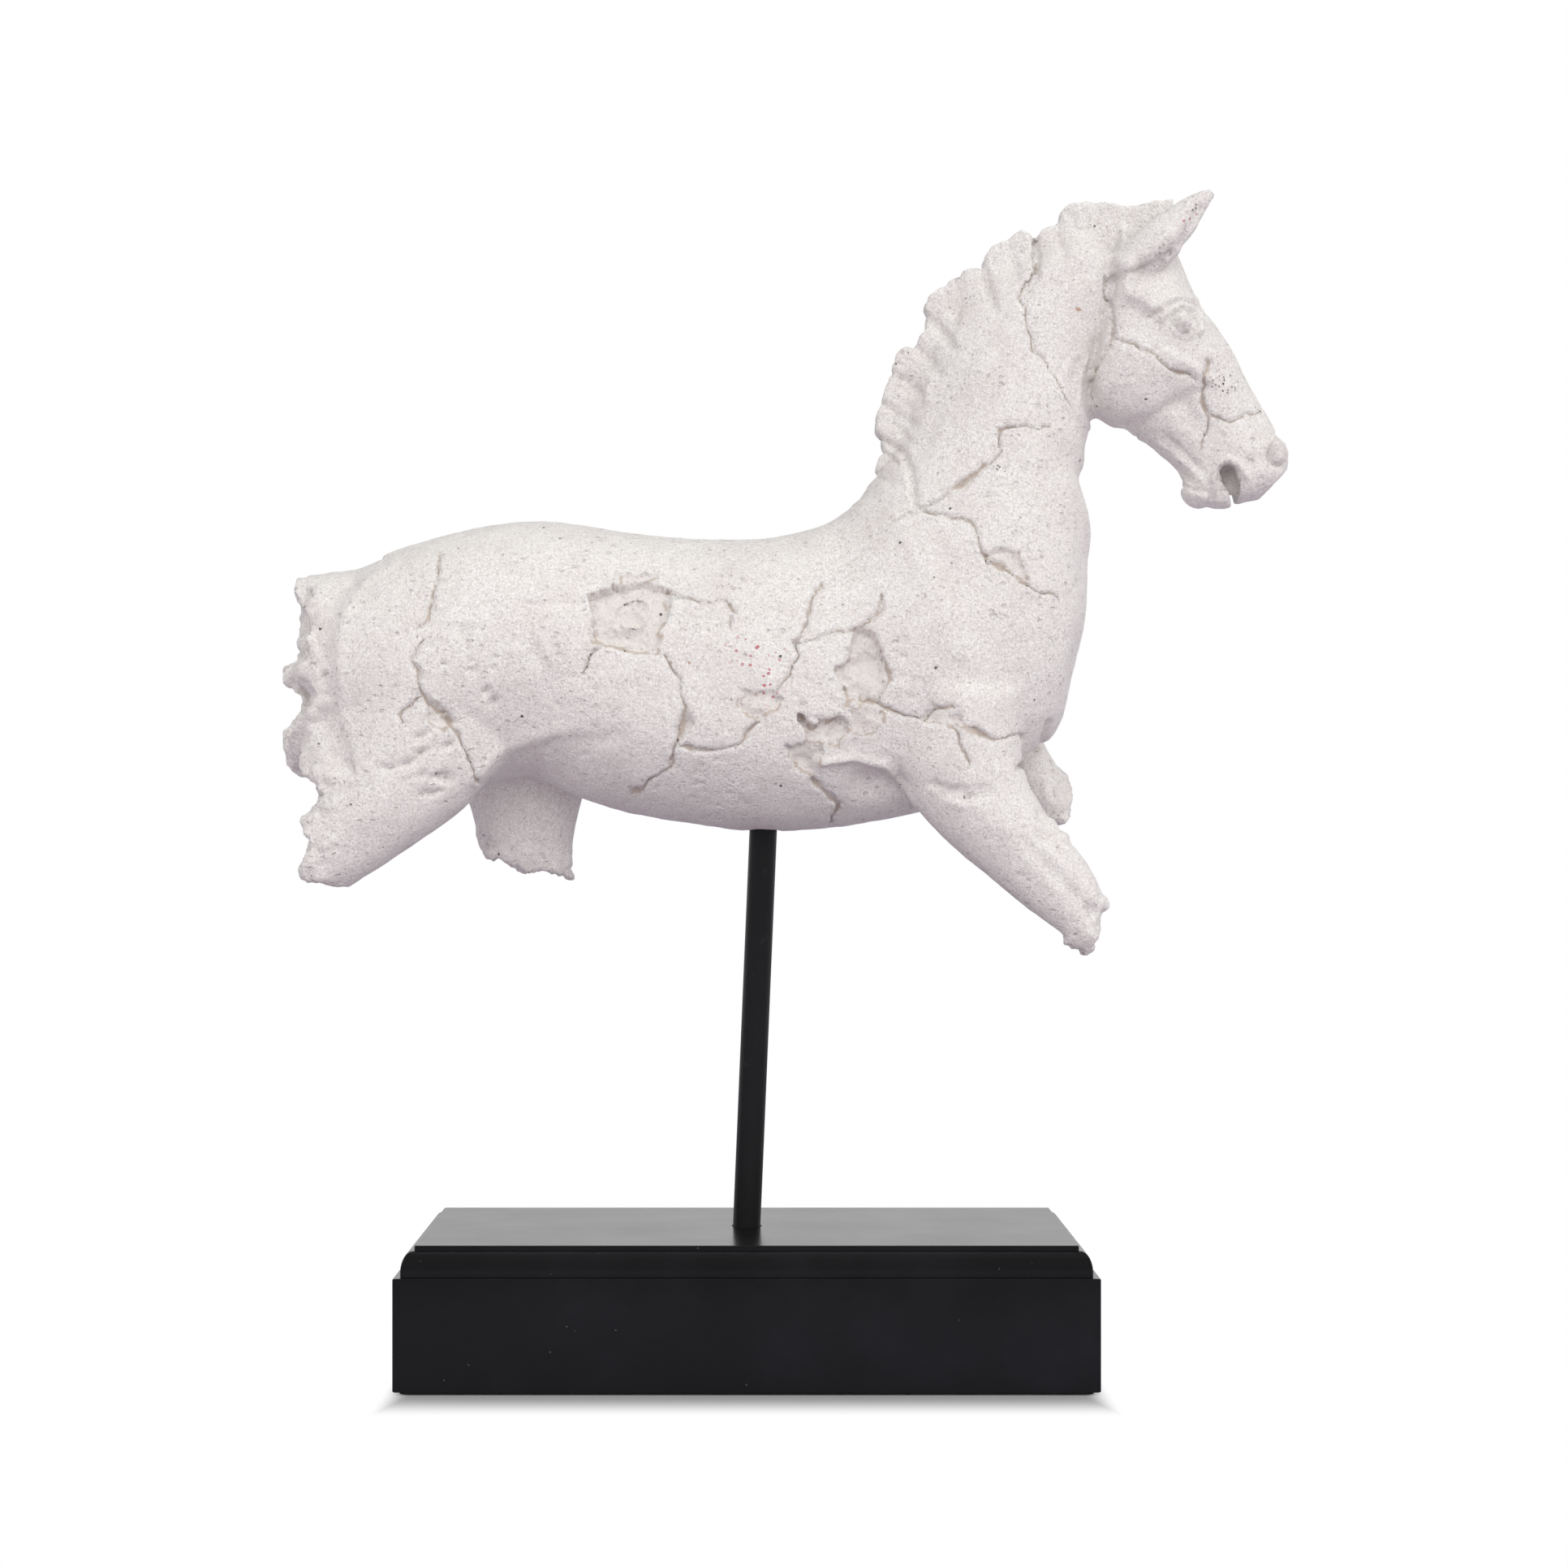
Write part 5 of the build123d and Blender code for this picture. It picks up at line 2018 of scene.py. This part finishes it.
@dataclass
class Stand:
    """The rod with its fixing and the lacquered plinth."""

    body: str = "stand"
    sharp_angle: float = math.radians(38)
    turns: tuple[tuple[str, float], ...] = (
        ("plinth_front", 0.0),
        ("plinth_right", 90.0),
        ("plinth_back", 180.0),
        ("plinth_left", 270.0),
    )
    carried: tuple[tuple[str, str], ...] = (
        ("rod", "rod"),
        ("rod_block", "raw"),
        ("plinth_bottom", "raw"),
        ("rod_washer", "steel"),
        ("rod_nut", "steel"),
        ("bottom_screws", "steel"),
        ("socket_sleeve", "sleeve"),
        ("base_pad", "pad"),
    )

    def build(self) -> list[bpy.types.Object]:
        """Dress the rod, its fixing and the plinth.

        Returns:
            The pieces that it makes.
        """
        lacquer = LacquerFinish().material()
        made = []
        boards = [MouldedTop(), *(SideBoard(node, turn) for node, turn in self.turns)]
        for board in boards:
            piece = board.build()
            piece.data.shade_smooth()
            piece.data.set_sharp_from_angle(angle=self.sharp_angle)
            piece.data.materials.append(lacquer)
            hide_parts(board.node)
            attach(piece, self.body)
            made.append(piece)
        finishes = {
            "rod": RodPaintFinish().material(),
            "raw": RawWoodFinish().material(),
            "steel": SteelFinish().material(),
            "sleeve": SteelFinish("sleeve_steel", (0.50, 0.50, 0.51), (0.34, 0.34, 0.35)).material(),
            "pad": PadFinish().material(),
        }
        for node, finish in self.carried:
            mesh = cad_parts[node].data
            mesh.materials.clear()
            mesh.materials.append(finishes[finish])
        thread = RodThread().build(finishes["rod"])
        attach(thread, self.body)
        return [*made, thread]


@dataclass(frozen=True)
class Lamp:
    """A soft square lamp: where it hangs, its width in metres and its power in watts."""

    name: str
    place: Triple
    size: float
    power: float
    target: Triple = (0.0, 0.0, 0.25)

    def hang(self) -> None:
        """Add the lamp, which the camera doesn't see."""
        data = bpy.data.lights.new(self.name, "AREA")
        data.size = self.size
        data.energy = self.power
        lamp = bpy.data.objects.new(self.name, data)
        lamp.visible_camera = False
        lamp.location = self.place
        heading = Vector(self.target) - Vector(self.place)
        lamp.rotation_euler = heading.to_track_quat("-Z", "Y").to_euler()
        bpy.context.scene.collection.objects.link(lamp)


@dataclass
class Studio:
    """The pale floor, the white surroundings and the soft lamps."""

    floor_size: float = 9.0
    floor_front: Colour = (0.60, 0.53, 0.60)
    floor_back: Colour = (0.92, 0.86, 0.99)
    # Grey that the camera sees round the plinth's foot: painted contact shadow
    painted_shadow_grey: Colour = (0.43, 0.425, 0.43)
    floor_gloss: Colour = (0.26, 0.25, 0.30)
    shadow_half_sizes: Place = (0.1155, 0.058)
    side_fade: float = 0.010
    front_fade: float = 0.033
    ambient: Colour = (0.53, 0.515, 0.53)
    ambient_front: Colour = (2.07, 2.065, 2.05)
    gloss_dark: float = 0.12
    floor_range: Place = (-0.15, 0.45)
    back_range: Place = (0.1, 0.6)
    low_range: Place = (0.75, 0.35)
    front_range: Place = (0.0, -0.9)
    front_turn: float = 0.4
    rise_range: Place = (-0.05, 0.22)
    lamps: tuple[Lamp, ...] = (
        Lamp("top_softbox", (0.1, -0.45, 1.35), 1.0, 0.3),
        Lamp("left_softbox", (-1.2, -0.9, 0.9), 0.8, 1.0),
    )

    def build(self) -> None:
        """Make the floor, the world and the lamps."""
        self.add_floor()
        self.set_world()
        for lamp in self.lamps:
            lamp.hang()

    def add_floor(self) -> None:
        """Add the floor, which is white to the camera away from the plinth and a darker grey near it, a
        painted contact shadow.
        """
        shape = bmesh.new()
        bmesh.ops.create_grid(shape, x_segments=1, y_segments=1, size=self.floor_size / 2)
        floor = add_object("floor", shape)
        material, shader = new_material("floor_white")
        gloss, camera = shader.rays("Glossy"), shader.rays("Camera")
        x, y, _ = shader.axes(shader.object_place())
        half_x, half_y = self.shadow_half_sizes
        across = shader.ramp(shader.axis_gap(x, half_x), 0.0, self.side_fade)
        along = shader.ramp(shader.axis_gap(y, half_y), 0.0, self.front_fade)
        far = across.combine("MAXIMUM", across, along)
        depth = shader.ramp(y, *self.floor_range)
        # The camera sees the floor painted grey near the plinth, deepening its contact shadow
        colour = shader.blend(camera, shader.blend(depth, self.floor_front, self.floor_back), self.painted_shadow_grey)
        colour = shader.blend(gloss, colour, self.floor_gloss)
        matt = shader.node("ShaderNodeBsdfDiffuse", None, {"Color": colour})
        white = shader.node("ShaderNodeEmission", None, {"Color": (1.0, 1.0, 1.0)})
        shares = {0: far * camera, 1: matt.outputs[0], 2: white.outputs[0]}
        seen = shader.node("ShaderNodeMixShader", None, shares)
        shader.node("ShaderNodeOutputMaterial", None, {"Surface": seen.outputs[0]})
        floor.data.materials.append(material)

    def set_world(self) -> None:
        """Light the scene evenly, and show white to the camera and behind the object's gloss."""
        world = bpy.data.worlds.new("studio")
        bpy.context.scene.world = world
        world.use_nodes = True
        shader = Shader(world.node_tree)
        gloss, camera = shader.rays("Glossy"), shader.rays("Camera")
        x, y, z = shader.axes(shader.node("ShaderNodeTexCoord").outputs["Generated"])
        back = shader.ramp(y, *self.back_range)
        low = shader.ramp(z, *self.low_range)
        backdrop = shader.blend(back * low, (self.gloss_dark,) * 3, (1.0, 1.0, 1.0))
        facing = shader.ramp(y - x * self.front_turn, *self.front_range)
        front = facing * shader.ramp(z, *self.rise_range)
        colour = shader.blend(gloss, shader.blend(front, self.ambient, self.ambient_front), backdrop)
        colour = shader.blend(camera, colour, (1.0, 1.0, 1.0))
        sky = shader.node("ShaderNodeBackground", None, {"Color": colour})
        shader.node("ShaderNodeOutputWorld", None, {"Surface": sky.outputs[0]})


def main() -> None:
    """Build the studio and every piece."""
    logging.basicConfig(level=logging.INFO, format="%(name)s: %(message)s")
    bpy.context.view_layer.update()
    bpy.context.scene.view_settings.view_transform = "Standard"
    view = PhotoView()
    view.add_camera()
    Studio().build()
    for piece in (HorseTorso(view).build(), *Stand().build()):
        LOG.info("made %s with %d faces", piece.name, len(piece.data.polygons))


if __name__ == "__main__":
    main()
